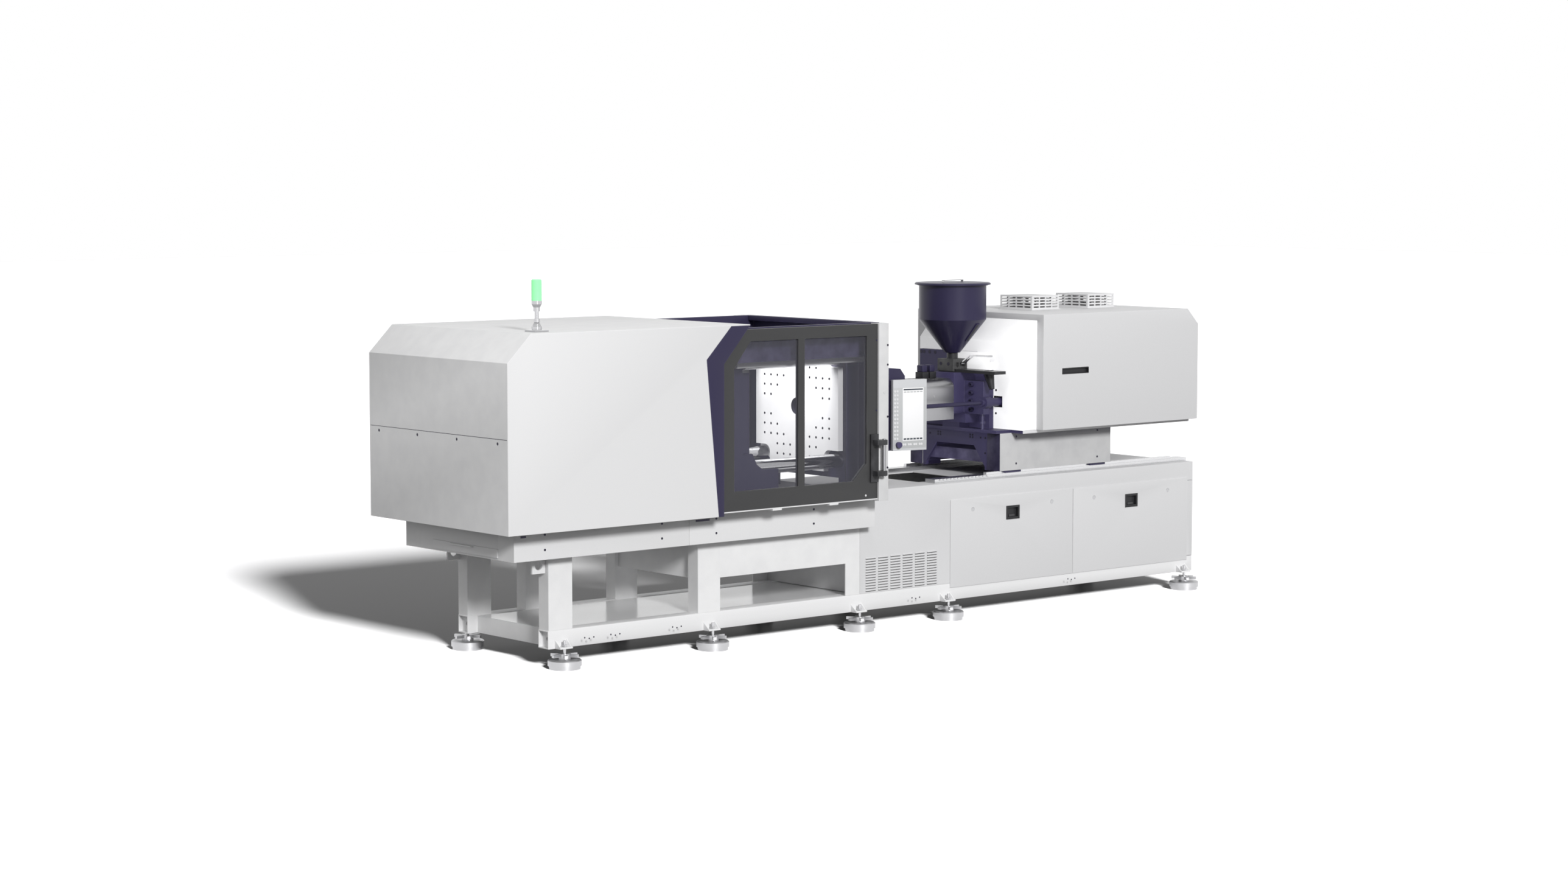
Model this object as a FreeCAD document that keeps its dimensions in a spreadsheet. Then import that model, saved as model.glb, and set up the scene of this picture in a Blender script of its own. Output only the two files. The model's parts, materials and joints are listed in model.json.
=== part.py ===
import FreeCAD, Part
import math
import os
import re
import Sketcher

# All-electric horizontal injection moulding machine, operator side towards -Y. X runs from the
# clamping unit (-X) to the injection unit (+X), Z is up from the floor, and Y = 0 is the machine's
# centre plane. Sizes in millimetres.

doc = FreeCAD.newDocument("InjectionMouldingMachine")
sheet = doc.addObject("Spreadsheet::Sheet", "Sizes")
V = FreeCAD.Vector

SIZES = {
    # clearances: flat seats between moving pieces, and the radial fit of pins, rods and screws
    "seat_gap": 0.3, "run_fit": 0.08,
    # machine axis and base frame
    "centre_height": 1556, "bed_half": 510, "base_left": -2829, "base_right": 3334,
    "rail_wide": 110, "rail_low": 130, "rail_top": 250, "rail_wall": 8, "rail_pocket": 34, "rail_hole": 12,
    "cross_wide": 60, "cross_first": -2748, "cross_second": -1560, "cross_third": -190,
    "cross_fourth": 1600,
    "last_cross_in": 72, "tray_thick": 6,
    # levelling feet
    "foot_out": 549, "foot_first": -2726, "foot_second": -1486, "foot_third": -156, "foot_fourth": 702,
    "last_foot_in": 132, "ring_radius": 103, "ring_high": 22, "pad_radius": 111, "pad_high": 62,
    "pad_edge": 6,
    "hub_radius": 40, "hub_high": 38, "arm_long": 95, "arm_wide": 22, "arm_thick": 20, "spindle_radius": 10,
    "nut_radius": 17, "nut_high": 16, "spindle_top": 184,
    "bracket_long": 100, "bracket_out": 62, "bracket_thick": 12, "gusset_high": 60, "gusset_thick": 8,
    # clamp bed
    "beam_left": -3169, "beam_right": -73, "beam_inner": 440, "beam_outer": 608, "beam_low": 734,
    "beam_top": 955,
    "skirt_thick": 6, "skirt_seam": -1738, "seam_gap": 2,
    "post_wide": 192, "post_deep": 105, "mid_post_left": -1582, "mid_post_right": -1389,
    "tie_post_left": -2345,
    "tie_post_right": -2206, "bridge_high": 120, "bridge_drop": 15, "bridge_wide": 120,
    "bridge_first": -3090, "bridge_second": -1560,
    "bridge_third": -330, "eye_left": -2934, "eye_wide": 102, "eye_high": 107, "eye_thick": 16,
    "eye_hole": 30,
    "eye_in": 40, "arm_bracket_long": 80, "arm_bracket_thick": 12, "arm_first": -3060, "arm_second": -2400,
    "arm_third": -1860, "arm_fourth": -1150, "arm_fifth": -640,
    "end_plate_thick": 8, "drip_low": 748, "drip_high": 57, "drip_front": -440, "drip_back": 292,
    "drip_deep": 420,
    "drip_wall": 4, "shelf_thick": 6, "grip_front": -170, "grip_back": 71, "grip_out": 18, "grip_thick": 10,
    # side panels round the part chute
    "panel_low": 477, "panel_thick": 10, "chute_leg_left": -254, "screen_left": -1553, "screen_thick": 8,
    # injection bed cabinet
    "bed_left": -118, "bed_shoulder": -50, "bed_top": 977, "bed_wall": 8, "shoulder_low": 730,
    "drop_left": 636, "drop_right": 1136, "drop_half": 300, "louvre_left": -64, "louvre_pitch": 118,
    "louvre_long": 96, "louvre_low": 260, "louvre_step": 19, "louvre_high": 7, "louvre_columns": 6,
    "louvre_rows": 13,
    "hatch_first": 752, "hatch_long": 1256, "hatch_gap": 4, "hatch_low": 219, "hatch_top": 855,
    "hatch_thick": 6,
    "hatch_lap": 36, "hatch_grip": 567, "hatch_grip_long": 121, "hatch_grip_high": 85,
    "hatch_grip_low": 681,
    "hatch_grip_deep": 26,
    "strip_left": 656, "strip_right": 3322, "strip_inner": 350, "strip_outer": 450, "strip_top": 1005,
    "guide_left": 1176, "guide_right": 3150, "guide_mid": 430, "guide_wide": 30, "guide_top": 1024,
    # clamp cover, guard and doors
    "cover_left": -3334, "cover_half": 788, "cover_low": 929, "cover_shoulder": 2020, "cover_top": 2201,
    "cover_slope": -3150, "cover_skin": 8, "skin_top_right": -1507, "skin_kink": -1726,
    "skin_kink_high": 1978,
    "skin_low_right": -1625, "roof_right": -1353, "strip_kink": -1577, "strip_kink_high": 1944,
    "strip_low": -1579,
    "cover_flange": 80,
    "door_left": -1640, "door_right": -196, "door_top": 2167, "door_in": 12, "door_thick": 30,
    "door_chamfer": 247,
    "pane_left": -1482, "pane_low": 1087, "pane_top": 2086, "pane_slope_high": 176, "pane_slope_wide": 141,
    "pane_right": -298, "mullion_left": -920, "mullion_right": -862, "pane_corner_wide": 122,
    "pane_corner_high": 116,
    "pane_thick": 5, "handle_left": -269, "handle_low": 1071, "handle_high": 334, "handle_plate": 16,
    "handle_plate_right": -199, "clamp_low": 1115, "clamp_high": 36, "clamp_step": 215, "clamp_out": 53,
    "clamp_right": -163, "tube_radius": 13, "tube_long": 262, "tube_in": 16,
    "track_wide": 60, "track_high": 7,
    "jamb_left": -194, "jamb_right": -104, "jamb_deep": 88, "jamb_top": 2169, "jamb_foot": 18,
    "guard_in": 109, "guard_wide": 40, "guard_low": 2137, "guard_top": 2172, "guard_left": -1500,
    "guard_leg_left": -1560, "cross_rail_left": -171, "cross_rail_wide": 40, "hanger_wide": 36,
    "end_guard_left": -120, "end_guard_thick": 8, "header_low": 2060, "side_header_low": 1935,
    "side_header_thick": 6, "channel_mid": 560,
    "channel_wide": 40,
    "channel_low": 1892, "channel_high": 41, "channel_left": -1294,
    # platens and tie bars
    "platen_half": 485, "face_half": 445, "notch_half": 292, "notch_round": 55, "fixed_face": -268,
    "fixed_face_thick": 44, "fixed_back": -54, "foot_inner": 400, "tie_side": 408, "tie_rise": 362,
    "tie_radius": 50.5,
    "tie_nut_radius": 82, "tie_nut_long": 60, "hole_pitch": 70, "hole_radius": 9, "hole_deep": 38,
    "ring_hole": 60, "ring_hole_deep": 30, "nozzle_bore": 42,
    "rear_face": -1861, "rear_thick": 220,
    "moving_face": -1076, "moving_face_thick": 89, "moving_thick": 96, "moving_half": 480,
    "way_inner": 440, "way_outer": 500, "way_top": 985, "way_left": -1480, "way_right": -290,
    "shoe_outer": 480, "shoe_inner": 445, "shoe_toe": -844, "shoe_high": 1180, "shoe_curve": -1038,
    "shoe_neck": 1220, "shoe_back": 1295, "shoe_nose": 1047,
    # ejector
    "pocket_half": 85, "pocket_rise": 55, "pocket_deep": 50, "ejector_left": -1300, "ejector_thick": 25,
    "ejector_half": 80, "ejector_rise": 50, "pin_side": 60, "pin_rise": 30, "pin_radius": 10,
    "pin_tip": -1090, "pin_play": 0.5,
    # toggle: two folding link pairs, a crosshead on two guide rods and the clamp screw
    "pivot_reach": 75, "pivot_rise": 125, "fold_open": 450, "link_length": 479, "lug_radius": 200,
    "lug_angle": 25,
    "ear_inner": 45, "ear_thick": 40, "ear_radius": 60, "link_inner": 90, "link_thick": 40, "link_half": 42,
    "link_end": 55, "pivot_radius": 35, "lug_half": 22, "lug_end": 27, "outer_inner": 135,
    "cross_pivot_rise": 55, "cross_link": 200, "cross_link_inner": 48, "cross_link_thick": 38,
    "cross_pin": 17,
    "cross_half": 45, "cross_body": 86, "wing_half": 262, "wing_rise": 20, "boss_inner": 197,
    "boss_rise": 40,
    "rod_side": 230, "rod_radius": 15, "rod_right": -1326, "screw_radius": 28, "screw_left": -2440,
    "screw_right": -1340, "motor_radius": 150, "motor_left": -2500, "motor_flange": 190,
    "motor_flange_thick": 30,
    # injection carriage
    "arch_left": 1285, "arch_thick": 25, "arch_half": 471, "arch_low": 1025, "deck_low": 1303,
    "arch_top": 1200,
    "arch_inner": 198, "arch_foot": 315, "arch_foot_high": 1050, "carriage_right": 2444,
    "side_beam_inner": 345,
    "side_beam_low": 1046, "belly_low": 1076, "belly_high": 86, "belly_left": 1330, "belly_right": 2300,
    "block_long": 160, "block_first": 1350, "block_second": 2240, "block_half": 36, "block_low": 1010,
    "box_left": 1279, "box_outer": 480, "box_low": 1027, "box_wall": 4,
    "base_plate_left": 1240, "base_plate_half": 480, "unit_left": 1394, "unit_right": 3180,
    "unit_half": 600,
    "unit_top": 1326, "front_plate_left": 1346, "front_plate_thick": 40, "front_plate_back": 452,
    "front_plate_top": 1883, "front_plate_step": -130, "front_plate_step_high": 1816,
    "front_plate_front": -300,
    "rear_plate_left": 2900, "rear_plate_thick": 40, "rear_plate_half": 300, "rear_plate_rise": 250,
    "unit_rod_side": 220, "unit_rod_rise": 150, "unit_rod_radius": 25, "unit_motor_radius": 115,
    "unit_motor_long": 200,
    # injection drive
    "inject_left": 2000, "inject_thick": 90, "inject_half": 290, "inject_rise": 205, "nut_tube_right": 2400,
    "nut_tube_radius": 60, "inject_stroke": 200, "nut_wall": 15, "screw_clear": 5, "ball_screw_right": 3120,
    "ball_screw_radius": 25, "melt_screw_left": 60, "melt_screw_right": 2045, "melt_screw_radius": 22,
    # barrel, nozzle, shield and throat
    "barrel_left": 20, "barrel_right": 1346, "barrel_radius": 65, "nozzle_tip": -190, "nozzle_radius": 22,
    "nozzle_long": 120, "adapter_radius": 55, "throat_radius": 30, "band_long": 110, "band_radius": 72,
    "band_first": 190, "band_step": 150, "band_count": 6,
    "shield_left": 150, "shield_right": 1126, "shield_half": 150, "shield_drop": 158, "shield_rise": 142,
    "shield_round": 70, "shield_skin": 4, "shield_slots": 14, "shield_slot_long": 110,
    "shield_slot_wide": 14,
    "shield_slot_first": 210, "shield_slot_step": 64,
    "throat_left": 1127, "throat_half": 150, "throat_drop": 118, "throat_rise": 182, "flange_left": 1232,
    "flange_thick": 58, "flange_half": 353, "flange_rise": 124, "saddle_left": 1200, "saddle_half": 200,
    "saddle_drop": 186, "saddle_web": 90,
    "rod_out": 350, "traverse_drop": 31, "traverse_radius": 15, "traverse_right": 1750, "boss_radius": 42,
    "collar_radius": 27, "collar_left": 1208, "cylinder_radius": 31.5, "cylinder_right": 1850,
    "rod_flange": 36,
    "rod_flange_thick": 18, "jack_side": 309, "jack_x": 1266, "jack_radius": 12, "jack_head": 20,
    "jack_head_high": 18,
    # hopper and slide
    "hopper_x": 1252, "slide_half_long": 57, "slide_front": -505, "slide_back": 84, "slide_thick": 22,
    "feed_radius": 34, "drop_side": -388, "chute_radius": 39, "chute_tip_radius": 19, "chute_drop": 111,
    "chute_lean": -34, "chute_wall": 4, "block_half_long": 72, "block_half_wide": 84, "block_high": 73,
    "block_lip": 17, "neck_radius": 37, "neck_high": 45, "cone_radius": 58, "cone_high": 246,
    "drum_radius": 249,
    "drum_high": 256, "drum_wall": 4, "rim_radius": 262, "rim_thick": 5, "lid_radius": 281, "lid_thick": 15,
    "strap_half": 99, "strap_high": 20, "strap_wide": 24, "strap_thick": 5,
    "lever_pivot_y": -100, "lever_pivot_rise": 37, "lever_pin": 5, "lever_width": 52, "lever_arm": 9,
    "lever_bend_y": -205, "lever_bend_rise": 102, "lever_tip_y": -395, "lever_tip_rise": 106,
    "lever_ear": 8,
    # injection cover, hood and vents
    "icover_left": 1529, "icover_right": 3197, "icover_half": 672, "icover_top": 2171, "icover_slope": 118,
    "icover_skin": 8, "pull_left": 1724, "pull_long": 280, "pull_low": 1727, "pull_high": 45,
    "pull_deep": 26, "pull_wall": 4,
    "hood_left": 1386, "hood_front": -606, "hood_back": 495, "hood_low_top": 1970, "hood_high_top": 2128,
    "hood_skin": 6, "hood_slot_front": -391, "hood_slot_back": -300, "hood_slot_low": 1485,
    "hood_slot_high": 1566,
    "hood_mouth_back": 444, "hood_mouth_low": 1340, "hood_mouth_high": 1805,
    "vent_long": 286, "vent_wide": 342, "vent_high": 107, "vent_lip": 12, "vent_lip_thick": 4,
    "vent_wall": 4,
    "vent_first_x": 1957, "vent_first_y": -124, "vent_second_x": 2524, "vent_second_y": -154,
    "vent_slot_rows": 4,
    "vent_slot_high": 10, "vent_slot_step": 22, "vent_slot_low": 18, "vent_slot_margin": 18,
    "vent_slot_gap": 12,
    "vent_slot_columns": 4, "fan_radius": 118, "fan_hub": 32, "fan_low": 24, "fan_high": 26,
    "fan_blade": 16,
    "fan_pin": 8, "fan_bar": 30, "fan_bar_thick": 6, "fan_blades": 6,
    # signal lamp
    "lamp_x": -2989, "lamp_y": -629, "lamp_base_half": 54, "lamp_base_high": 13, "socket_radius": 32,
    "socket_high": 22, "ball_radius": 26, "ball_rise": 39, "ball_play": 0.35, "pole_radius": 13.5,
    "collar_low_rise": 60, "collar_low_high": 24, "lamp_collar": 20, "collar_up_rise": 130,
    "collar_up_high": 26,
    "lamp_collar_up": 22, "cap_rise": 176, "cap_high": 22, "lens_radius": 33, "lens_high": 136,
    # control panel
    "housing_left": -104, "housing_right": 83, "housing_low": 1276, "housing_top": 1856,
    "housing_slope_x": 40,
    "housing_slope_z": 1792, "housing_front": -752, "housing_back": -652, "panel_pivot_x": -52,
    "panel_turn": 12,
    "panel_wide": 270, "panel_high": 494, "panel_deep": 36, "panel_base": 1278, "panel_edge": -14,
    "pivot_in": 12, "knuckle_radius": 7, "knuckle_pin": 3.5, "knuckle_long": 80, "knuckle_low": 60,
    "knuckle_step": 300, "knuckle_lug": 18, "dial_side": 40, "dial_up": 42, "dial_radius": 21,
    "dial_high": 24,
    "dial_shaft": 5, "dial_gap": 0.5,
}
for row, (alias, value) in enumerate(SIZES.items(), start=1):
    sheet.set(f"A{row}", str(value))
    sheet.setAlias(f"A{row}", alias)
doc.recompute()


def bound(text):
    """An expression over the sheet's aliases, as the document's objects take it."""
    return re.sub(r"[a-z]\w*", lambda word: "Sizes." + word.group() if word.group() in SIZES
                  else word.group(), str(text))


def box(name, x, y, z):
    """A block between two expressions along each axis."""
    part = doc.addObject("Part::Box", name)
    for side, axis, (low, high) in zip(("Length", "Width", "Height"), "xyz", (x, y, z)):
        part.setExpression(side, bound(f"({high}) - ({low})"))
        part.setExpression(f"Placement.Base.{axis}", bound(low))
    return part


TURNS = {
    "x": FreeCAD.Rotation(V(0, 1, 0), 90),
    "y": FreeCAD.Rotation(V(1, 0, 0), -90),
    "z": FreeCAD.Rotation(),
}


def round_bar(name, axis, start, length, radius):
    """A cylinder along an axis from its start point."""
    part = doc.addObject("Part::Cylinder", name)
    part.Placement = FreeCAD.Placement(V(0, 0, 0), TURNS[axis])
    part.setExpression("Radius", bound(radius))
    part.setExpression("Height", bound(length))
    for place, value in zip("xyz", start):
        part.setExpression(f"Placement.Base.{place}", bound(value))
    return part


def cone(name, axis, start, length, radius, end_radius):
    """A truncated cone along an axis from its start point."""
    part = doc.addObject("Part::Cone", name)
    part.Placement = FreeCAD.Placement(V(0, 0, 0), TURNS[axis])
    part.setExpression("Radius1", bound(radius))
    part.setExpression("Radius2", bound(end_radius))
    part.setExpression("Height", bound(length))
    for place, value in zip("xyz", start):
        part.setExpression(f"Placement.Base.{place}", bound(value))
    return part


def outline(body, name, plane, points):
    """A closed sketch through points given as pairs of expressions, on one of the body's own planes."""
    sketch = body.newObject("Sketcher::SketchObject", name)
    sketch.AttachmentSupport = [(next(f for f in body.Origin.OriginFeatures if f.Role == plane), "")]
    sketch.MapMode = "FlatFace"
    count = len(points)
    ring = [V(100 * math.cos(2 * math.pi * i / count), 100 * math.sin(2 * math.pi * i / count), 0)
            for i in range(count)]
    for i in range(count):
        sketch.addGeometry(Part.LineSegment(ring[i], ring[(i + 1) % count]), False)
    for i in range(count):
        sketch.addConstraint(Sketcher.Constraint("Coincident", i, 2, (i + 1) % count, 1))
    for i, point in enumerate(points):
        for kind, value, start in (("DistanceX", point[0], ring[i].x), ("DistanceY", point[1], ring[i].y)):
            number = sketch.addConstraint(Sketcher.Constraint(kind, -1, 1, i, 1, start))
            sketch.setExpression(f"Constraints[{number}]", bound(value))
    return sketch


def prism(name, plane, points, start, end):
    """A flat outline in the plane XY, XZ or YZ, padded between two places along the plane's normal."""
    body = doc.addObject("PartDesign::Body", name)
    sketch = outline(body, name + "_outline", plane + "_Plane", points)
    sketch.setExpression("AttachmentOffset.Base.z", bound(f"-({end})" if plane == "XZ" else start))
    pad = body.newObject("PartDesign::Pad", name + "_pad")
    pad.Profile = sketch
    pad.setExpression("Length", bound(f"({end}) - ({start})"))
    return body


def turned(name, points, x, y, z="0"):
    """A body of revolution about the vertical, from a radius and height outline."""
    body = doc.addObject("PartDesign::Body", name)
    sketch = outline(body, name + "_outline", "XZ_Plane", points)
    spin = body.newObject("PartDesign::Revolution", name + "_turn")
    spin.Profile = sketch
    spin.ReferenceAxis = (sketch, ["V_Axis"])
    spin.Angle = 360
    for place, value in zip("xyz", (x, y, z)):
        body.setExpression(f"Placement.Base.{place}", bound(value))
    return body


def fuse(name, *parts):
    """One solid out of overlapping or touching pieces."""
    part = doc.addObject("Part::MultiFuse", name)
    part.Shapes = list(parts)
    return part


def group(name, *parts):
    """Separate solids under one name."""
    part = doc.addObject("Part::Compound", name)
    part.Links = list(parts)
    return part


def cut(name, base, *tools):
    """The base less its tools."""
    part = doc.addObject("Part::Cut", name)
    part.Base = base
    part.Tool = tools[0] if len(tools) == 1 else group(name + "_tools", *tools)
    return part


def mirrored(name, source, normal="y", height="0"):
    """The same piece on the other side of the centre plane, or of a level plane at a height."""
    part = doc.addObject("Part::Mirroring", name)
    part.Source = source
    part.Normal = {"y": V(0, 1, 0), "z": V(0, 0, 1)}[normal]
    part.setExpression("Base.z", bound(height))
    return part


def both_sides(name, source, join=fuse):
    """A piece and its mirror image across the centre plane."""
    return join(name, source, mirrored(name + "_far", source))


KEPT = []


def keep(label, part):
    """Marks a finished sub-part; its label names its file."""
    part.Label = label
    KEPT.append(part)


# Places worked out from more than one size. The last foot and cross member stand in from the end of
# the rails, and the guard frame from the covers' sides. The shield, the throat, the slide, the hopper
# and its lever take their heights from the machine's axis.
LAST_CROSS = "(base_right - last_cross_in)"
GUARD_MID = "(cover_half - guard_in)"
LAST_FOOT = "(base_right - last_foot_in)"
SHIELD_LOW = "(centre_height - shield_drop)"
SHIELD_TOP = "(centre_height + shield_rise)"
TRAVERSE_HEIGHT = "(centre_height - traverse_drop)"
THROAT_LOW = "(centre_height - throat_drop)"
THROAT_TOP = "(centre_height + throat_rise)"
FLANGE_TOP = "(centre_height + flange_rise)"
SADDLE_LOW = "(centre_height - saddle_drop)"
CHUTE_TIP = f"({THROAT_TOP} - chute_drop)"
SLIDE_TOP = f"({THROAT_TOP} + slide_thick)"
BLOCK_TOP = f"({SLIDE_TOP} + block_high)"
CONE_LOW = f"({BLOCK_TOP} + neck_high)"
DRUM_LOW = f"({CONE_LOW} + cone_high)"
DRUM_TOP = f"({DRUM_LOW} + drum_high)"
LEVER_PIVOT_Z = f"({SLIDE_TOP} + lever_pivot_rise)"
LEVER_BEND_Z = f"({SLIDE_TOP} + lever_bend_rise)"
LEVER_TIP_Z = f"({SLIDE_TOP} + lever_tip_rise)"

# Heights of the arms that carry the cover, and of the door track on them.
ARM_LOW = "cover_low + cover_skin"
ARM_TOP = f"{ARM_LOW} + arm_bracket_thick"
TRACK_TOP = f"{ARM_TOP} + track_high"
SHELF_TOP = "drip_low + drip_wall"
FEET = ("foot_first", "foot_second", "foot_third", "foot_fourth", LAST_FOOT)


# ---------------------------------------------------------------- base frame

def make_base_rails():
    """Two welded box rails with open ends, their cross members, and a gusseted bracket over each foot."""
    rail = box("rail", ("base_left", "base_right"), ("-bed_half", "-bed_half + rail_wide"),
               ("rail_low", "rail_top"))
    pockets = []
    holes = []
    for start, inner in (("base_left - 1", "base_left + rail_pocket"),
                         ("base_right - rail_pocket", "base_right + 1")):
        pockets.append(box("rail_end", (start, inner),
                           ("-bed_half + rail_wall", "-bed_half + rail_wide - rail_wall"),
                           ("rail_low + rail_wall", "rail_top - rail_wall")))
    for start in ("base_left + rail_pocket - 1", "base_right - rail_pocket - 19"):
        holes.append(round_bar("rail_eye", "x", (start, "-bed_half + rail_wide / 2",
                                                 "(rail_low + rail_top) / 2"), 20, "rail_hole"))
    rail = cut("rail_open", rail, *pockets)
    rail = cut("rail_drilled", rail, *holes)
    pieces = [rail]
    for foot in FEET:
        plate = box("bracket", (f"{foot} - bracket_long / 2", f"{foot} + bracket_long / 2"),
                    ("-bed_half - bracket_out", "-bed_half"), ("rail_low", "rail_low + bracket_thick"))
        bore = round_bar("bracket_bore", "z", (foot, "-foot_out", "rail_low - 1"), "bracket_thick + 2",
                         "spindle_radius + seat_gap")
        pieces.append(cut("bracket_drilled", plate, bore))
        for side in (f"{foot} - bracket_long / 2", f"{foot} + bracket_long / 2 - gusset_thick"):
            corner = (("-bed_half", "rail_low + bracket_thick"),
                      ("-bed_half - bracket_out + 6", "rail_low + bracket_thick"),
                      ("-bed_half", "rail_low + gusset_high"))
            pieces.append(prism("gusset", "YZ", corner, side, f"{side} + gusset_thick"))
    side = fuse("rail_side", *pieces)
    cross = [box("cross_member", (left, f"{left} + cross_wide"),
                 ("-bed_half + rail_wide", "bed_half - rail_wide"), ("rail_low", "rail_top - 10"))
             for left in ("cross_first", "cross_second", "cross_third", "cross_fourth", LAST_CROSS)]
    keep("base_rails", fuse("base_frame", side, mirrored("rail_side_far", side), *cross))


def make_floor_tray():
    """A drip sheet on the cross members, between the rails."""
    keep("floor_tray", box("tray", ("cross_first", "base_right"),
                           ("-bed_half + rail_wide + 1", "bed_half - rail_wide - 1"),
                           ("rail_top - 10", "rail_top - 10 + tray_thick")))


def make_levelling_feet():
    """Ten mounts: a ring under a pressed pad, a star hub, and a spindle with its nut on the bracket."""
    near = []
    for foot in FEET:
        pad = turned("pad", (("0", "0"), ("ring_radius", "0"), ("ring_radius", "ring_high"),
                             ("pad_radius", "ring_high"), ("pad_radius", "pad_high - pad_edge"),
                             ("pad_radius - pad_edge", "pad_high"), ("hub_radius", "pad_high"),
                             ("hub_radius", "pad_high + hub_high"), ("0", "pad_high + hub_high")), foot,
                     "-foot_out")
        arms = []
        for angle in (0, 60, 120):
            arm = doc.addObject("Part::Box", "arm")
            arm.setExpression("Length", bound("2 * arm_long"))
            arm.setExpression("Width", bound("arm_wide"))
            arm.setExpression("Height", bound("arm_thick"))
            turn = math.radians(angle)
            arm.Placement = FreeCAD.Placement(V(0, 0, 0), FreeCAD.Rotation(V(0, 0, 1), angle))
            arm.setExpression("Placement.Base.x", bound(f"{foot} - arm_long * {math.cos(turn):.6f}"
                                                        f" + arm_wide / 2 * {math.sin(turn):.6f}"))
            arm.setExpression("Placement.Base.y", bound(f"-foot_out - arm_long * {math.sin(turn):.6f}"
                                                        f" - arm_wide / 2 * {math.cos(turn):.6f}"))
            arm.setExpression("Placement.Base.z", bound("pad_high + 16"))
            arms.append(arm)
        near.append(fuse("foot_pad", pad, *arms))
        spindle = round_bar("spindle", "z", (foot, "-foot_out", "pad_high + hub_high"),
                            "spindle_top - pad_high - hub_high", "spindle_radius")
        nut = doc.addObject("Part::Prism", "nut")
        nut.setExpression("Circumradius", bound("nut_radius"))
        nut.setExpression("Height", bound("nut_high"))
        for axis, place in zip("xyz", (foot, "-foot_out", "rail_low + bracket_thick")):
            nut.setExpression(f"Placement.Base.{axis}", bound(place))
        near.append(fuse("foot_spindle", spindle, nut))
    keep("levelling_feet", both_sides("feet", group("near_feet", *near), group))


# ---------------------------------------------------------------- clamp bed

def make_clamp_frame():
    """Two box beams on posts, bridges between them, lifting eyes, and arms that carry cover and track."""
    side = [box("beam", ("beam_left", "beam_right"), ("-beam_outer", "-beam_inner"),
                ("beam_low", "beam_top")), box("end_post", ("base_left + 4", "base_left + 4 + post_wide"),
                                               ("-bed_half", "-bed_half + post_deep"),
                                               ("rail_top", "beam_low")),
            box("mid_post", ("mid_post_left", "mid_post_right"), ("-bed_half", "-bed_half + post_deep"),
                ("rail_top", "beam_low"))]
    eye = box("eye", ("eye_left", "eye_left + eye_wide"), ("-bed_half + eye_in - eye_thick",
                                                           "-bed_half + eye_in"),
              ("beam_low - eye_high", "beam_low"))
    ring = round_bar("eye_bore", "y", ("eye_left + eye_wide / 2", "-bed_half + eye_in - eye_thick - 1",
                                       "beam_low - eye_high / 2"), "eye_thick + 2", "eye_hole")
    side.append(cut("eye_plate", eye, ring))
    for arm in ("arm_first", "arm_second", "arm_third", "arm_fourth", "arm_fifth"):
        side.append(box("cover_arm", (arm, f"{arm} + arm_bracket_long"),
                        ("-cover_half + cover_skin", "-beam_outer"), (ARM_LOW, ARM_TOP)))
    side.append(box("door_track", ("arm_first", "jamb_left - 4"),
                    ("-cover_half + cover_skin", "-cover_half + cover_skin + track_wide"),
                    (ARM_TOP, TRACK_TOP)))
    near = group("clamp_side", *side)
    bridges = [box("bridge", (left, f"{left} + bridge_wide"), ("-beam_inner", "beam_inner"),
                   ("beam_top - bridge_drop - bridge_high", "beam_top - bridge_drop"))
               for left in ("bridge_first", "bridge_second", "bridge_third")]
    shelf = box("drip_shelf", ("beam_left + end_plate_thick", "bridge_first + bridge_wide"),
                ("-beam_inner", "beam_inner"), (f"{SHELF_TOP} - shelf_thick", SHELF_TOP))
    inner = box("tie_post", ("tie_post_left", "tie_post_right"), ("bed_half - post_deep", "bed_half"),
                ("rail_top", "beam_low"))
    keep("clamp_frame", group("clamp_bed", near, mirrored("clamp_side_far", near), inner, shelf, *bridges))


def make_bed_skirts():
    """Folded sheets along the beams, and the end sheet with the drip drawer's opening."""
    side = []
    for left, right in (("beam_left", "skirt_seam - seam_gap"), ("skirt_seam", "beam_right")):
        skirt = box("skirt", (left, right), ("-beam_outer - skirt_thick", "-beam_outer"),
                    ("beam_low", "beam_top"))
        arms = ("arm_first", "arm_second", "arm_third") if left == "beam_left" else ("arm_fourth",
                                                                                     "arm_fifth")
        slots = [box("arm_slot", (arm, f"{arm} + arm_bracket_long"),
                     ("-beam_outer - skirt_thick - 1", "-beam_outer + 1"), (ARM_LOW, ARM_TOP))
                 for arm in arms]
        side.append(cut("skirt_slotted", skirt, *slots))
    end = box("end_sheet", ("beam_left", "beam_left + end_plate_thick"), ("-beam_inner", "beam_inner"),
              ("beam_low", "beam_top"))
    mouth = box("drawer_mouth", ("beam_left - 1", "beam_left + end_plate_thick + 1"),
                ("drip_front + 14", "drip_back - 14"), (SHELF_TOP, "drip_low + drip_high - 8"))
    near = group("skirts_near", *side)
    keep("bed_skirts", group("skirts", near, mirrored("skirts_far", near), cut("end_sheet_open", end, mouth)))


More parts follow.
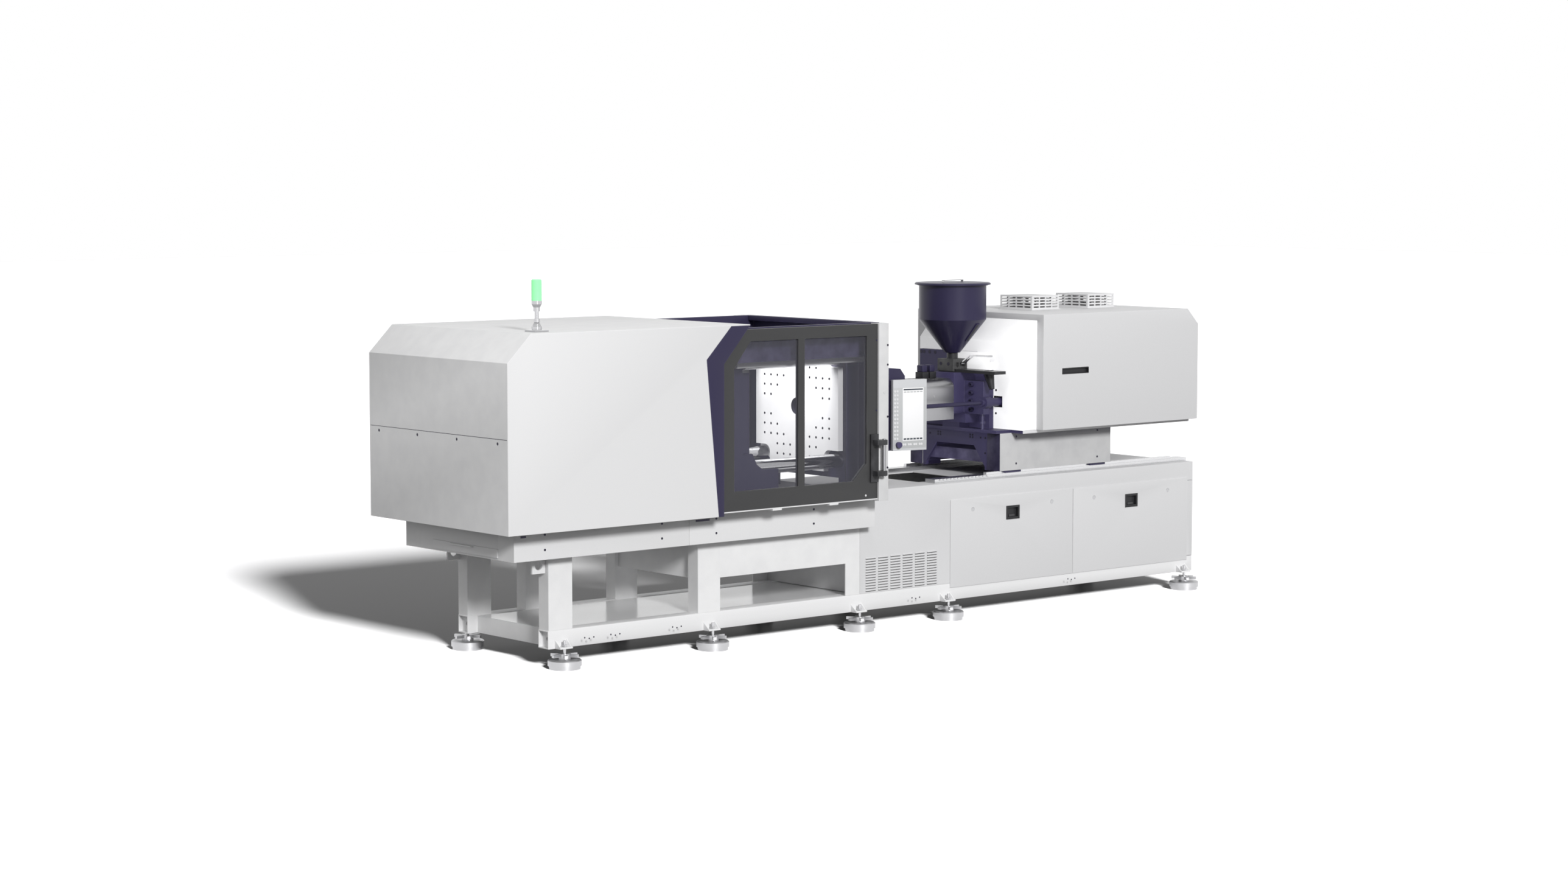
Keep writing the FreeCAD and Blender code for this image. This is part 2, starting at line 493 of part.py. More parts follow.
def make_drip_tray():
    """A shallow folded drawer under the clamp, with a bar grip."""
    front = box("drip_face", ("beam_left - end_plate_thick", "beam_left - seat_gap"),
                ("drip_front", "drip_back"), ("drip_low", "drip_low + drip_high"))
    tub = box("drip_tub", ("beam_left - 1", "beam_left + drip_deep"), ("drip_front + 16", "drip_back - 16"),
              (f"{SHELF_TOP} + seat_gap", "drip_low + drip_high - 10"))
    well = box("drip_well", ("beam_left + drip_wall", "beam_left + drip_deep - drip_wall"),
               ("drip_front + 16 + drip_wall", "drip_back - 16 - drip_wall"),
               (f"{SHELF_TOP} + drip_wall", "drip_low + drip_high"))
    grip = box("drip_grip", ("beam_left - end_plate_thick - grip_out", "beam_left - end_plate_thick"),
               ("grip_front", "grip_back"), ("drip_low + drip_high - grip_thick - 2",
                                             "drip_low + drip_high - 2"))
    keep("drip_tray", fuse("drip_drawer", front, cut("drip_pan", tub, well), grip))


def make_side_panels():
    """L-shaped sheets beside the part chute, and the screen between the middle posts."""
    sheet_side = prism("chute_sheet", "XZ", (("mid_post_right", "panel_low"), ("mid_post_right", "beam_low"),
                                             ("bed_left - seam_gap", "beam_low"),
                                             ("bed_left - seam_gap", "rail_top"),
                                             ("chute_leg_left", "rail_top"), ("chute_leg_left", "panel_low")),
                       "-bed_half", "-bed_half + panel_thick")
    screen = box("screen", ("screen_left", "screen_left + screen_thick"),
                 ("-bed_half + post_deep", "bed_half - post_deep"), ("panel_low", "beam_low"))
    keep("side_panels", group("chute_panels", sheet_side, mirrored("chute_sheet_far", sheet_side), screen))


# ---------------------------------------------------------------- injection bed

def make_bed_cabinet():
    """The folded cabinet of the injection bed, with louvres, hatch openings and the cut-out in its deck."""
    upper = box("bed_upper", ("bed_shoulder", "base_right"), ("-bed_half", "bed_half"),
                ("shoulder_low", "bed_top"))
    lower = box("bed_lower", ("bed_left", "base_right"), ("-bed_half", "bed_half"), ("rail_top", "beam_low"))
    shell = fuse("bed_block", upper, lower)
    hollow = fuse("bed_hollow", box("bed_upper_in", ("bed_shoulder + bed_wall", "base_right - bed_wall"),
                                    ("-bed_half + bed_wall", "bed_half - bed_wall"),
                                    ("shoulder_low - 10", "bed_top - bed_wall")),
                  box("bed_lower_in", ("bed_left + bed_wall", "base_right - bed_wall"),
                      ("-bed_half + bed_wall", "bed_half - bed_wall"),
                      ("rail_top - 1", "beam_low - bed_wall")))
    drop = box("deck_opening", ("drop_left", "drop_right"), ("-drop_half", "drop_half"),
               ("bed_top - bed_wall - 1", "bed_top + 1"))
    hatches = [f"hatch_first + {i} * (hatch_long + hatch_gap)" for i in range(2)]
    openings = [box("hatch_opening", (f"{left} + hatch_lap", f"{left} + hatch_long - hatch_lap"),
                    ("-bed_half - 1", "-bed_half + bed_wall + 1"),
                    ("hatch_low + hatch_lap + 10", "hatch_top - hatch_lap")) for left in hatches]
    louvres = [box("louvre", (f"louvre_left + {i} * louvre_pitch",
                              f"louvre_left + {i} * louvre_pitch + louvre_long"),
                   ("-bed_half - 1", "-bed_half + bed_wall + 1"),
                   (f"louvre_low + {j} * louvre_step", f"louvre_low + {j} * louvre_step + louvre_high"))
               for i in range(SIZES["louvre_columns"]) for j in range(SIZES["louvre_rows"])]
    shell = cut("bed_shell", shell, hollow)
    keep("bed_cabinet", cut("bed_sheet", shell, drop, *openings, *louvres))


def make_cabinet_panels():
    """Two lift-out panels on the operator side, each with a recessed grip."""
    for i, label in enumerate(("cabinet_panel_left", "cabinet_panel_right")):
        left = f"(hatch_first + {i} * (hatch_long + hatch_gap))"
        grip = f"({left} + hatch_grip)"
        plate = box("hatch", (left, f"{left} + hatch_long"), ("-bed_half - hatch_thick - seat_gap",
                                                              "-bed_half - seat_gap"),
                    ("hatch_low", "hatch_top"))
        tub = box("hatch_tub", (f"{grip} - 4", f"{grip} + hatch_grip_long + 4"),
                  ("-bed_half - seat_gap - 1", "-bed_half + hatch_grip_deep"),
                  ("hatch_grip_low - 4", "hatch_grip_low + hatch_grip_high + 4"))
        well = box("hatch_well", (grip, f"{grip} + hatch_grip_long"),
                   ("-bed_half - hatch_thick - 2", "-bed_half + hatch_grip_deep - 3"),
                   ("hatch_grip_low", "hatch_grip_low + hatch_grip_high"))
        keep(label, cut("hatch_sheet", fuse("hatch_block", plate, tub), well))


def make_bed_rails():
    """Machined strips on the deck and the linear guide on each."""
    strip = box("strip", ("strip_left", "strip_right"), ("-strip_outer", "-strip_inner"),
                ("bed_top", "strip_top"))
    guide = box("guide", ("guide_left", "guide_right"), ("-guide_mid - guide_wide / 2",
                                                         "-guide_mid + guide_wide / 2"),
                ("strip_top", "guide_top"))
    keep("bed_rails", both_sides("guides", fuse("guide_side", strip, guide), group))


# ---------------------------------------------------------------- clamp cover, guard and doors

def make_clamp_cover():
    """The white hood over the clamping unit: bent roof and end, two side skins, flanges on the arms."""
    edge = (("cover_left", "cover_low"), ("cover_left", "cover_shoulder"), ("cover_slope", "cover_top"))
    inner = (("cover_left + cover_skin", "cover_low"),
             ("cover_left + cover_skin", "cover_shoulder - cover_skin * 0.43"),
             ("cover_slope + cover_skin * 0.4", "cover_top - cover_skin"))
    wrap = prism("cover_wrap", "XZ", (*edge, ("roof_right", "cover_top"),
                                      ("roof_right", "cover_top - cover_skin"), *reversed(inner)),
                 "-cover_half", "cover_half")
    skin = prism("cover_side", "XZ", (*edge, ("skin_top_right", "cover_top"), ("skin_kink", "skin_kink_high"),
                                      ("skin_low_right", "cover_low")), "-cover_half",
                 "-cover_half + cover_skin")
    flange = box("cover_flange", ("cover_left", "skin_low_right - 4"),
                 ("-cover_half", "-cover_half + cover_flange"), ("cover_low", "cover_low + cover_skin"))
    side = fuse("cover_near", skin, flange)
    keep("clamp_cover", fuse("cover_shell", wrap, side, mirrored("cover_far", side)))


def make_cover_strips():
    """The slanted edge trims between the white skins and the doors."""
    trim = (("skin_top_right", "cover_top"), ("skin_kink", "skin_kink_high"), ("skin_low_right", "cover_low"),
            ("strip_low", "cover_low"), ("strip_kink", "strip_kink_high"),
            ("roof_right", "cover_top - cover_skin"))
    strip = prism("strip_trim", "XZ", trim, "-cover_half", "-cover_half + cover_skin")
    lid = box("strip_lid", ("skin_top_right - 200", "roof_right"),
              ("-cover_half", "-cover_half + cover_skin"), ("cover_top - cover_skin", "cover_top + 1"))
    keep("cover_strips", both_sides("trims", cut("strip_under_roof", strip, lid), group))


def make_guard_frame():
    """The indigo frame round the mould space: rails, header sheets, legs, end guards, cable channel."""
    rail = box("guard_rail", ("guard_left", "end_guard_left + end_guard_thick"),
               (f"-{GUARD_MID} - guard_wide / 2", f"-{GUARD_MID} + guard_wide / 2"),
               ("guard_low", "guard_top"))
    leg = box("guard_leg", ("guard_leg_left", "guard_left"),
              (f"-{GUARD_MID} - guard_wide / 2", f"-{GUARD_MID} + guard_wide / 2"),
              (f"{TRACK_TOP} + 1", "guard_top"))
    leg_foot = box("leg_foot", ("guard_leg_left", "guard_left"),
                   (f"-{GUARD_MID} - guard_wide / 2", "-beam_outer - skirt_thick"),
                   (f"{TRACK_TOP} - 6", f"{TRACK_TOP} + 2"))
    hanger = box("hanger", ("guard_leg_left", "jamb_left"),
                 (f"-{GUARD_MID} - guard_wide / 2 - hanger_wide", f"-{GUARD_MID} - guard_wide / 2"),
                 ("guard_low - 20", "guard_top - 12"))
    side_guard = box("end_guard", ("end_guard_left", "end_guard_left + end_guard_thick"),
                     ("-cover_half + jamb_deep + 1", "-platen_half - 8"), ("beam_top", "guard_top"))
    side_header = box("side_header", ("guard_left - guard_wide / 2", "end_guard_left"),
                      (f"-{GUARD_MID} + guard_wide / 2",
                       f"-{GUARD_MID} + guard_wide / 2 + side_header_thick"),
                      ("side_header_low", "guard_top"))
    near = fuse("guard_near", rail, leg, leg_foot, hanger, side_guard, side_header)
    cross = box("cross_rail", ("cross_rail_left", "cross_rail_left + cross_rail_wide"),
                ("-" + GUARD_MID, GUARD_MID), ("guard_low", "guard_top"))
    header = box("header", ("end_guard_left", "end_guard_left + end_guard_thick"),
                 ("-" + GUARD_MID, GUARD_MID), ("header_low", "guard_top"))
    channel = box("cable_channel", ("channel_left", "end_guard_left"),
                  ("-channel_mid - channel_wide / 2", "-channel_mid + channel_wide / 2"),
                  ("channel_low", "channel_low + channel_high"))
    keep("guard_frame", fuse("guard", near, mirrored("guard_far", near), cross, header, channel))


def make_door_jambs():
    """White posts that close the doors, each on a foot against the beam."""
    post = box("jamb", ("jamb_left", "jamb_right"), ("-cover_half", "-cover_half + jamb_deep"),
               ("beam_top", "jamb_top"))
    foot = box("jamb_foot", ("jamb_left", "jamb_right"), ("-cover_half", "-beam_outer - skirt_thick"),
               ("beam_top - jamb_foot", "beam_top"))
    keep("door_jambs", both_sides("jambs", fuse("jamb_near", post, foot), group))


PANES = (
    (("pane_left", "pane_low"), ("pane_left", "pane_top - pane_slope_high"),
     ("pane_left + pane_slope_wide", "pane_top"), ("mullion_left", "pane_top"), ("mullion_left", "pane_low")),
    (("mullion_right", "pane_low"), ("mullion_right", "pane_top"), ("pane_right", "pane_top"),
     ("pane_right", "pane_low + pane_corner_high"), ("pane_right - pane_corner_wide", "pane_low")),
)


def make_doors():
    """Sliding doors front and back: a sheet frame, two tinted panes, and a tube handle on two clamps."""
    outer = "-cover_half + door_in"
    inner = "-cover_half + door_in + door_thick"
    low = f"{TRACK_TOP} + seat_gap"
    leaf = prism("door_leaf", "XZ", (("door_left", low), ("door_left", "door_top - door_chamfer"),
                                     ("door_left + door_chamfer", "door_top"), ("door_right", "door_top"),
                                     ("door_right", low)), outer, inner)
    openings = [prism("pane_opening", "XZ", pane, f"{outer} - 1", f"{inner} + 1") for pane in PANES]
    panes = [prism("pane", "XZ", pane, "-cover_half + door_in + 10",
                   "-cover_half + door_in + 10 + pane_thick") for pane in PANES]
    leaf = cut("door_frame", leaf, *openings)
    plate = box("handle_base", ("handle_left", "handle_plate_right"), (f"{outer} - handle_plate", outer),
                ("handle_low", "handle_low + handle_high"))
    clamps = [box("handle_clamp", ("handle_left + 14", "clamp_right"),
                  (f"{outer} - handle_plate - clamp_out", f"{outer} - handle_plate"),
                  (f"clamp_low + {i} * clamp_step", f"clamp_low + {i} * clamp_step + clamp_high"))
              for i in range(2)]
    tube = round_bar("handle_tube", "z",
                     ("clamp_right - tube_in", f"{outer} - handle_plate - clamp_out / 2 - 8",
                      "clamp_low + (clamp_step + clamp_high - tube_long) / 2"), "tube_long", "tube_radius")
    handle = fuse("handle", plate, *clamps, tube)
    glass = group("glass", *panes)
    keep("front_door", leaf)
    keep("front_windows", glass)
    keep("front_handle", handle)
    keep("rear_door", mirrored("door_far", fuse("door_with_handle", leaf, handle)))
    keep("rear_windows", mirrored("glass_far", glass))


# ---------------------------------------------------------------- clamping unit

def tie_bores(name, left, right, radius):
    """Four bores or bars along X at the tie bar places."""
    return [round_bar(name, "x", (left, f"{y} * tie_side", f"centre_height + {z} * tie_rise"),
                      f"({right}) - ({left})", radius) for y in (-1, 1) for z in (-1, 1)]


def platen_face(name, left, right):
    """The raised mounting face with its four notched corners."""
    face = box(name, (left, right), ("-face_half", "face_half"),
               ("centre_height - face_half", "centre_height + face_half"))
    notches = []
    for y in (-1, 1):
        for z in (-1, 1):
            low = ("notch_half", "notch_half + notch_round")
            high = "face_half + 1"
            spans = (((low[1], high), (low[0], high)), ((low[0], high), (low[1], high)))
            blocks = []
            for across, up in spans:
                ends_y = across if y > 0 else (f"-({across[1]})", f"-({across[0]})")
                ends_z = up if z > 0 else (f"-({up[1]})", f"-({up[0]})")
                blocks.append(box("notch", (f"({left}) - 1", f"({right}) + 1"), ends_y,
                                  (f"centre_height + {ends_z[0]}", f"centre_height + {ends_z[1]}")))
            blocks.append(round_bar("notch_round", "x", (f"({left}) - 1", f"{y} * ({low[1]})",
                                                         f"centre_height + {z} * ({low[1]})"),
                                    f"({right}) - ({left}) + 2", "notch_round"))
            notches.append(fuse("notch_tool", *blocks))
    return cut(name + "_cross", face, *notches)


# Threaded hole places in pitches from the centre: at each height, how far out the holes lie on both sides.
HOLE_ROWS = {1: (4, 5), 2: (3, 4, 5), 3: (2, 3, 4, 5), 4: (1, 2, 3), 5: (1, 2, 3)}


def face_holes(start):
    """The grid of blind clamping holes of a platen."""
    return [round_bar("face_hole", "x", (start, f"{y * side} * hole_pitch",
                                         f"centre_height + {z * row} * hole_pitch"), "hole_deep + 1",
                      "hole_radius") for row, columns in HOLE_ROWS.items() for z in (-1, 1)
            for side in columns for y in (-1, 1)]


def make_fixed_platen():
    """The cast platen beside the injection unit, with its locating hole and nozzle bore, on two feet."""
    back = box("fixed_body", ("fixed_face + fixed_face_thick", "fixed_back"), ("-platen_half", "platen_half"),
               ("centre_height - platen_half", "centre_height + platen_half"))
    feet = [box("fixed_foot", ("fixed_face + fixed_face_thick", "beam_right - 4"), ends,
                ("beam_top", "centre_height - platen_half + 1"))
            for ends in (("-platen_half", "-foot_inner"), ("foot_inner", "platen_half"))]
    block = fuse("fixed_block", back, platen_face("fixed_front", "fixed_face",
                                                  "fixed_face + fixed_face_thick + 1"), *feet)
    ring = round_bar("ring_hole", "x", ("fixed_face - 1", 0, "centre_height"), "ring_hole_deep + 1",
                     "ring_hole")
    bore = cone("nozzle_bore", "x", ("fixed_face + ring_hole_deep - 0.5", 0, "centre_height"),
                "fixed_back - fixed_face - ring_hole_deep + 1", "nozzle_bore", "nozzle_bore * 2.4")
    seats = tie_bores("tie_seat", "fixed_face", "fixed_back + 1", "tie_radius + run_fit")
    keep("fixed_platen", cut("fixed_drilled", block, fuse("nozzle_way", ring, bore), *seats,
                             *face_holes("fixed_face - 1")))


def make_rear_platen():
    """The toggle's fixed end: a cast plate with pivot ears and the bearing bore of the clamp screw."""
    body = box("rear_body", ("rear_face - rear_thick", "rear_face"), ("-platen_half", "platen_half"),
               ("centre_height - platen_half", "centre_height + platen_half"))
    feet = [box("rear_foot", ("rear_face - rear_thick", "rear_face"), ends,
                ("beam_top", "centre_height - platen_half + 1"))
            for ends in (("-platen_half", "-foot_inner"), ("foot_inner", "platen_half"))]
    pivot = "rear_face + pivot_reach"
    ears = pivot_ears("rear_ear", ("rear_face - 1", pivot), pivot, "ear_inner", "ear_thick")
    bores = tie_bores("rear_seat", "rear_face - rear_thick - 1", "rear_face + 1", "tie_radius + run_fit")
    shaft = round_bar("screw_way", "x", ("rear_face - rear_thick - 1", 0, "centre_height"), "rear_thick + 2",
                      "screw_radius + run_fit")
    pins = [round_bar("rear_pin_bore", "y", ("rear_face + pivot_reach", "-ear_inner - ear_thick - 1",
                                             f"centre_height + {z} * pivot_rise"),
                      "2 * (ear_inner + ear_thick + 1)", "pivot_radius + run_fit") for z in (-1, 1)]
    keep("rear_platen", cut("rear_drilled", fuse("rear_block", body, *feet, *ears), *bores, shaft, *pins))


def pivot_ears(name, reach, pivot, inner, thick):
    """Four round-nosed ears between a wall and the pivot line; reach is their X range."""
    ears = []
    for z in (-1, 1):
        height = f"centre_height + {z} * pivot_rise"
        for low, high in ((f"-{inner} - {thick}", f"-{inner}"), (inner, f"{inner} + {thick}")):
            block = box(name, reach, (low, high), (f"{height} - ear_radius", f"{height} + ear_radius"))
            nose = round_bar(name + "_nose", "y", (pivot, low, height), thick, "ear_radius")
            ears.append(fuse(name + "_piece", block, nose))
    return ears


def make_clamp_bars():
    """Four tie bars with their nuts, and the two guide rods of the crosshead."""
    left = "rear_face - rear_thick - tie_nut_long"
    bars = tie_bores("tie_bar", left, "fixed_back", "tie_radius")
    nuts = tie_bores("tie_nut", left, "rear_face - rear_thick", "tie_nut_radius")
    pieces = [fuse("tie_bar_nut", bar, nut) for bar, nut in zip(bars, nuts)]
    rods = [round_bar("guide_rod", "x", ("rear_face", f"{y} * rod_side", "centre_height"),
                      "rod_right - rear_face", "rod_radius") for y in (-1, 1)]
    keep("tie_bars", group("clamp_bars", *pieces, *rods))


def make_moving_platen():
    """The platen of the moving mould half: body, raised face, pivot ears, ejector pocket and shoes."""
    back = "moving_face - moving_face_thick - moving_thick"
    pivot = f"({back} - pivot_reach)"
    body = box("moving_body", (back, "moving_face - moving_face_thick"), ("-moving_half", "moving_half"),
               ("centre_height - moving_half", "centre_height + moving_half"))
    shoe = prism("shoe", "XZ", ((back, "way_top + seat_gap"), ("shoe_toe - 16", "way_top + seat_gap"),
                                ("shoe_toe", "shoe_nose"), ("shoe_toe", "shoe_high"),
                                ("shoe_curve + 53", "shoe_high + 3"), ("shoe_curve", "shoe_neck"),
                                ("moving_face", "shoe_back"), (back, "shoe_back")), "-shoe_outer",
                 "-shoe_inner")
    face = platen_face("moving_front", "moving_face - moving_face_thick - 1", "moving_face")
    ears = pivot_ears("moving_ear", (pivot, f"{back} + 1"), pivot, "link_inner", "link_thick")
    block = fuse("moving_block", body, face, shoe, mirrored("shoe_far", shoe), *ears)
    pocket = box("ejector_pocket", (f"{back} - 1", f"{back} + pocket_deep"), ("-pocket_half", "pocket_half"),
                 ("centre_height - pocket_rise", "centre_height + pocket_rise"))
    pins = [round_bar("ejector_bore", "x", (f"{back} + pocket_deep - 1", f"{y} * pin_side",
                                            f"centre_height + {z} * pin_rise"),
                      "moving_face_thick + moving_thick - pocket_deep + 2", "pin_radius + pin_play")
            for y in (-1, 1) for z in (-1, 1)]
    bores = tie_bores("moving_seat", f"{back} - 1", "shoe_toe + 1", "tie_radius + run_fit")
    pivots = [round_bar("moving_pin_bore", "y", (pivot, "-link_inner - link_thick - 1",
                                                 f"centre_height + {z} * pivot_rise"),
                        "2 * (link_inner + link_thick + 1)", "pivot_radius + run_fit") for z in (-1, 1)]
    keep("moving_platen", cut("moving_drilled", block, fuse("ejector_space", pocket, *pins), *bores, *pivots,
                              *face_holes("moving_face - hole_deep")))


def make_platen_ways():
    """Flat ways on the beams under the moving platen's shoes."""
    way = box("way", ("way_left", "way_right"), ("-way_outer", "-way_inner"), ("beam_top", "way_top"))
    keep("platen_ways", both_sides("ways", way, group))


def make_ejector():
    """The ejector plate and its four pins, behind the moving platen."""
    plate = box("ejector_block", ("ejector_left", "ejector_left + ejector_thick"),
                ("-ejector_half", "ejector_half"), ("centre_height - ejector_rise",
                                                    "centre_height + ejector_rise"))
    pins = [round_bar("ejector_pin", "x", ("ejector_left + 1", f"{y} * pin_side",
                                           f"centre_height + {z} * pin_rise"), "pin_tip - ejector_left - 1",
                      "pin_radius") for y in (-1, 1) for z in (-1, 1)]
    keep("ejector_plate", fuse("ejector", plate, *pins))


# The toggle at rest: fold angle of both links above the pivot line, and the places it gives.
FOLD = "acos(fold_open / (2 * link_length))"
LUG = f"({FOLD} - lug_angle * 1 deg)"
LUG_RISE = f"(pivot_rise + lug_radius * sin({LUG}))"
CROSS_DROP = f"({LUG_RISE} - cross_pivot_rise)"
CROSS_X = (f"(rear_face + pivot_reach + lug_radius * cos({LUG})"
           f" + sqrt(cross_link^2 - {CROSS_DROP}^2))")


def place(part, x, z, angle):
    """Sets a link, drawn along +X from its pivot, at a place in the centre plane and tilts it upwards."""
    part.Placement = FreeCAD.Placement(V(0, 0, 0), FreeCAD.Rotation(V(0, -1, 0), 10))
    part.setExpression("Placement.Base.x", bound(x))
    part.setExpression("Placement.Base.z", bound(z))
    part.setExpression("Placement.Rotation.Angle", bound(angle))


def link_plates(name, inner, thick, length, half, end):
    """Two parallel link plates with round ends, drawn along +X from the pivot."""
    plates = []
    for low in (f"-({inner}) - ({thick})", inner):
        high = f"({low}) + ({thick})"
        plates.append(fuse(name, box(name + "_web", (0, length), (low, high), (f"-({half})", half)),
                           round_bar(name + "_eye", "y", (0, low, 0), thick, end),
                           round_bar(name + "_knee", "y", (length, low, 0), thick, end)))
    return plates


def cross_pin(name, x, reach, radius):
    """A pin across a link pair."""
    return round_bar(name, "y", (x, f"-({reach})", 0), f"2 * ({reach})", radius)


def make_toggle():
    """The folding links of the clamp, each pair of plates on its own pin, in planes side by side."""
    reach = "link_inner + link_thick"
    lug = []
    for low in (f"-({reach})", "link_inner"):
        arm = box("lug_arm", (0, "lug_radius"), (0, "link_thick"), ("-lug_half", "lug_half"))
        tip = round_bar("lug_tip", "y", ("lug_radius", 0, 0), "link_thick", "lug_end")
        piece = fuse("lug", arm, tip)
        piece.Placement = FreeCAD.Placement(V(0, 0, 0), FreeCAD.Rotation(V(0, 1, 0), 10))
        piece.setExpression("Placement.Base.y", bound(low))
        piece.setExpression("Placement.Rotation.Angle", bound("lug_angle * 1 deg"))
        lug.append(piece)
    rear = fuse("rear_link", *link_plates("rear_plate", "link_inner", "link_thick", "link_length",
                                          "link_half", "link_end"), *lug,
                cross_pin("rear_pin", 0, reach, "pivot_radius"),
                cross_pin("knee_pin", "link_length", reach, "pivot_radius"))
    outer = fuse("front_link", *link_plates("front_plate", "outer_inner", "link_thick", "link_length",
                                            "link_half", "link_end"),
                 cross_pin("platen_pin", 0, "outer_inner + link_thick", "pivot_radius"))
    cross = fuse("cross_link", *link_plates("cross_plate", "cross_link_inner", "cross_link_thick",
                                            "cross_link", "lug_half", "lug_end"),
                 cross_pin("cross_pin", 0, "cross_link_inner + cross_link_thick", "cross_pin"))
    place(rear, "rear_face + pivot_reach", "centre_height + pivot_rise", FOLD)
    place(outer, "moving_face - moving_face_thick - moving_thick - pivot_reach", "centre_height + pivot_rise",
          f"180 deg - {FOLD}")
    place(cross, CROSS_X, "centre_height + cross_pivot_rise", f"180 deg - asin({CROSS_DROP} / cross_link)")
    for label, link in (("rear_link", rear), ("front_link", outer), ("crosshead_link", cross)):
        keep(label + "_upper", link)
        keep(label + "_lower", mirrored(label + "_below", link, "z", "centre_height"))


def make_crosshead():
    """The crosshead: a nut block on the clamp screw with a wing to each guide rod."""
    x = (f"{CROSS_X} - cross_half", f"{CROSS_X} + cross_half")
    block = box("cross_block", x, ("-cross_link_inner + 2", "cross_link_inner - 2"),
                ("centre_height - cross_body", "centre_height + cross_body"))
    wing = box("cross_wing", x, ("-wing_half", "wing_half"), ("centre_height - wing_rise",
                                                              "centre_height + wing_rise"))
    bosses = [box("cross_boss", x, ends, ("centre_height - boss_rise", "centre_height + boss_rise"))
              for ends in (("-wing_half", "-boss_inner"), ("boss_inner", "wing_half"))]
    long = "2 * cross_half + 2"
    start = f"{CROSS_X} - cross_half - 1"
    bores = [round_bar("rod_bore", "x", (start, f"{y} * rod_side", "centre_height"), long,
                       "rod_radius + run_fit") for y in (-1, 1)]
    screw = round_bar("nut_bore", "x", (start, 0, "centre_height"), long, "screw_radius + run_fit")
    pins = [round_bar("cross_bore", "y", (CROSS_X, "-cross_link_inner",
                                          f"centre_height + {z} * cross_pivot_rise"), "2 * cross_link_inner",
                      "cross_pin + run_fit") for z in (-1, 1)]
    keep("crosshead", cut("cross_drilled", fuse("cross_body_block", block, wing, *bosses), *bores, screw,
                          *pins))


def make_clamp_drive():
    """The clamp screw, and the hollow servo motor that turns it, on the rear platen."""
    keep("clamp_screw", round_bar("screw", "x", ("screw_left", 0, "centre_height"),
                                  "screw_right - screw_left", "screw_radius"))
    shell = fuse("motor_block", round_bar("motor", "x", ("motor_left", 0, "centre_height"),
                                          "rear_face - rear_thick - motor_left", "motor_radius"),
                 round_bar("motor_flange", "x", ("rear_face - rear_thick - motor_flange_thick", 0,
                                                 "centre_height"), "motor_flange_thick", "motor_flange"))
    bore = round_bar("motor_bore", "x", ("screw_left - seat_gap", 0, "centre_height"),
                     "rear_face - rear_thick - screw_left + 1", "screw_radius + run_fit")
    keep("clamp_motor", cut("motor_hollow", shell, bore))


# ---------------------------------------------------------------- injection carriage

def make_carriage():
    """The welded carriage: arched front plate, side beams with guide blocks, and a belly box."""
    arch = prism("arch", "YZ", (("-arch_half", "arch_low"), ("-arch_half", "deck_low"),
                                ("arch_half", "deck_low"), ("arch_half", "arch_low"),
                                ("arch_foot", "arch_low"), ("arch_foot", "arch_foot_high"),
                                ("arch_inner", "arch_top"), ("-arch_inner", "arch_top"),
                                ("-arch_foot", "arch_foot_high"), ("-arch_foot", "arch_low")), "arch_left",
                 "arch_left + arch_thick")
    beam = box("side_beam", ("arch_left + arch_thick", "carriage_right - box_wall"),
               ("-arch_half", "-side_beam_inner"), ("side_beam_low", "deck_low"))
    side = [beam]
    for left in ("block_first", "block_second"):
        block = box("guide_block", (left, f"{left} + block_long"),
                    ("-guide_mid - block_half", "-guide_mid + block_half"),
                    ("block_low", "side_beam_low + 1"))
        slot = box("block_slot", (f"{left} - 1", f"{left} + block_long + 1"),
                   ("-guide_mid - guide_wide / 2 - seat_gap", "-guide_mid + guide_wide / 2 + seat_gap"),
                   ("block_low - 1", "guide_top + seat_gap"))
        side.append(cut("block_slotted", block, slot))
    belly = box("belly", ("belly_left", "belly_right"), ("-side_beam_inner", "side_beam_inner"),
                ("belly_low", "belly_low + belly_high"))
    near = fuse("carriage_side", *side)
    keep("carriage_frame", fuse("carriage", arch, near, mirrored("carriage_far", near), belly))


def make_carriage_boxes():
    """The white sheet boxes over the carriage's side beams."""
    outer = box("side_box", ("box_left", "carriage_right"), ("-box_outer", "-side_beam_inner"),
                ("box_low", "deck_low"))
    inner = box("side_box_in", ("box_left + box_wall", "carriage_right - box_wall"),
                ("-box_outer + box_wall", "0"), ("box_low - 1", "deck_low + 1"))
    keep("carriage_boxes", both_sides("side_boxes", cut("side_box_open", outer, inner), group))


def rods_at(name, start, length, radius):
    """Four bars along X round the injection axis."""
    return [round_bar(name, "x", (start, f"{y} * unit_rod_side", f"centre_height + {z} * unit_rod_rise"),
                      length, radius) for y in (-1, 1) for z in (-1, 1)]


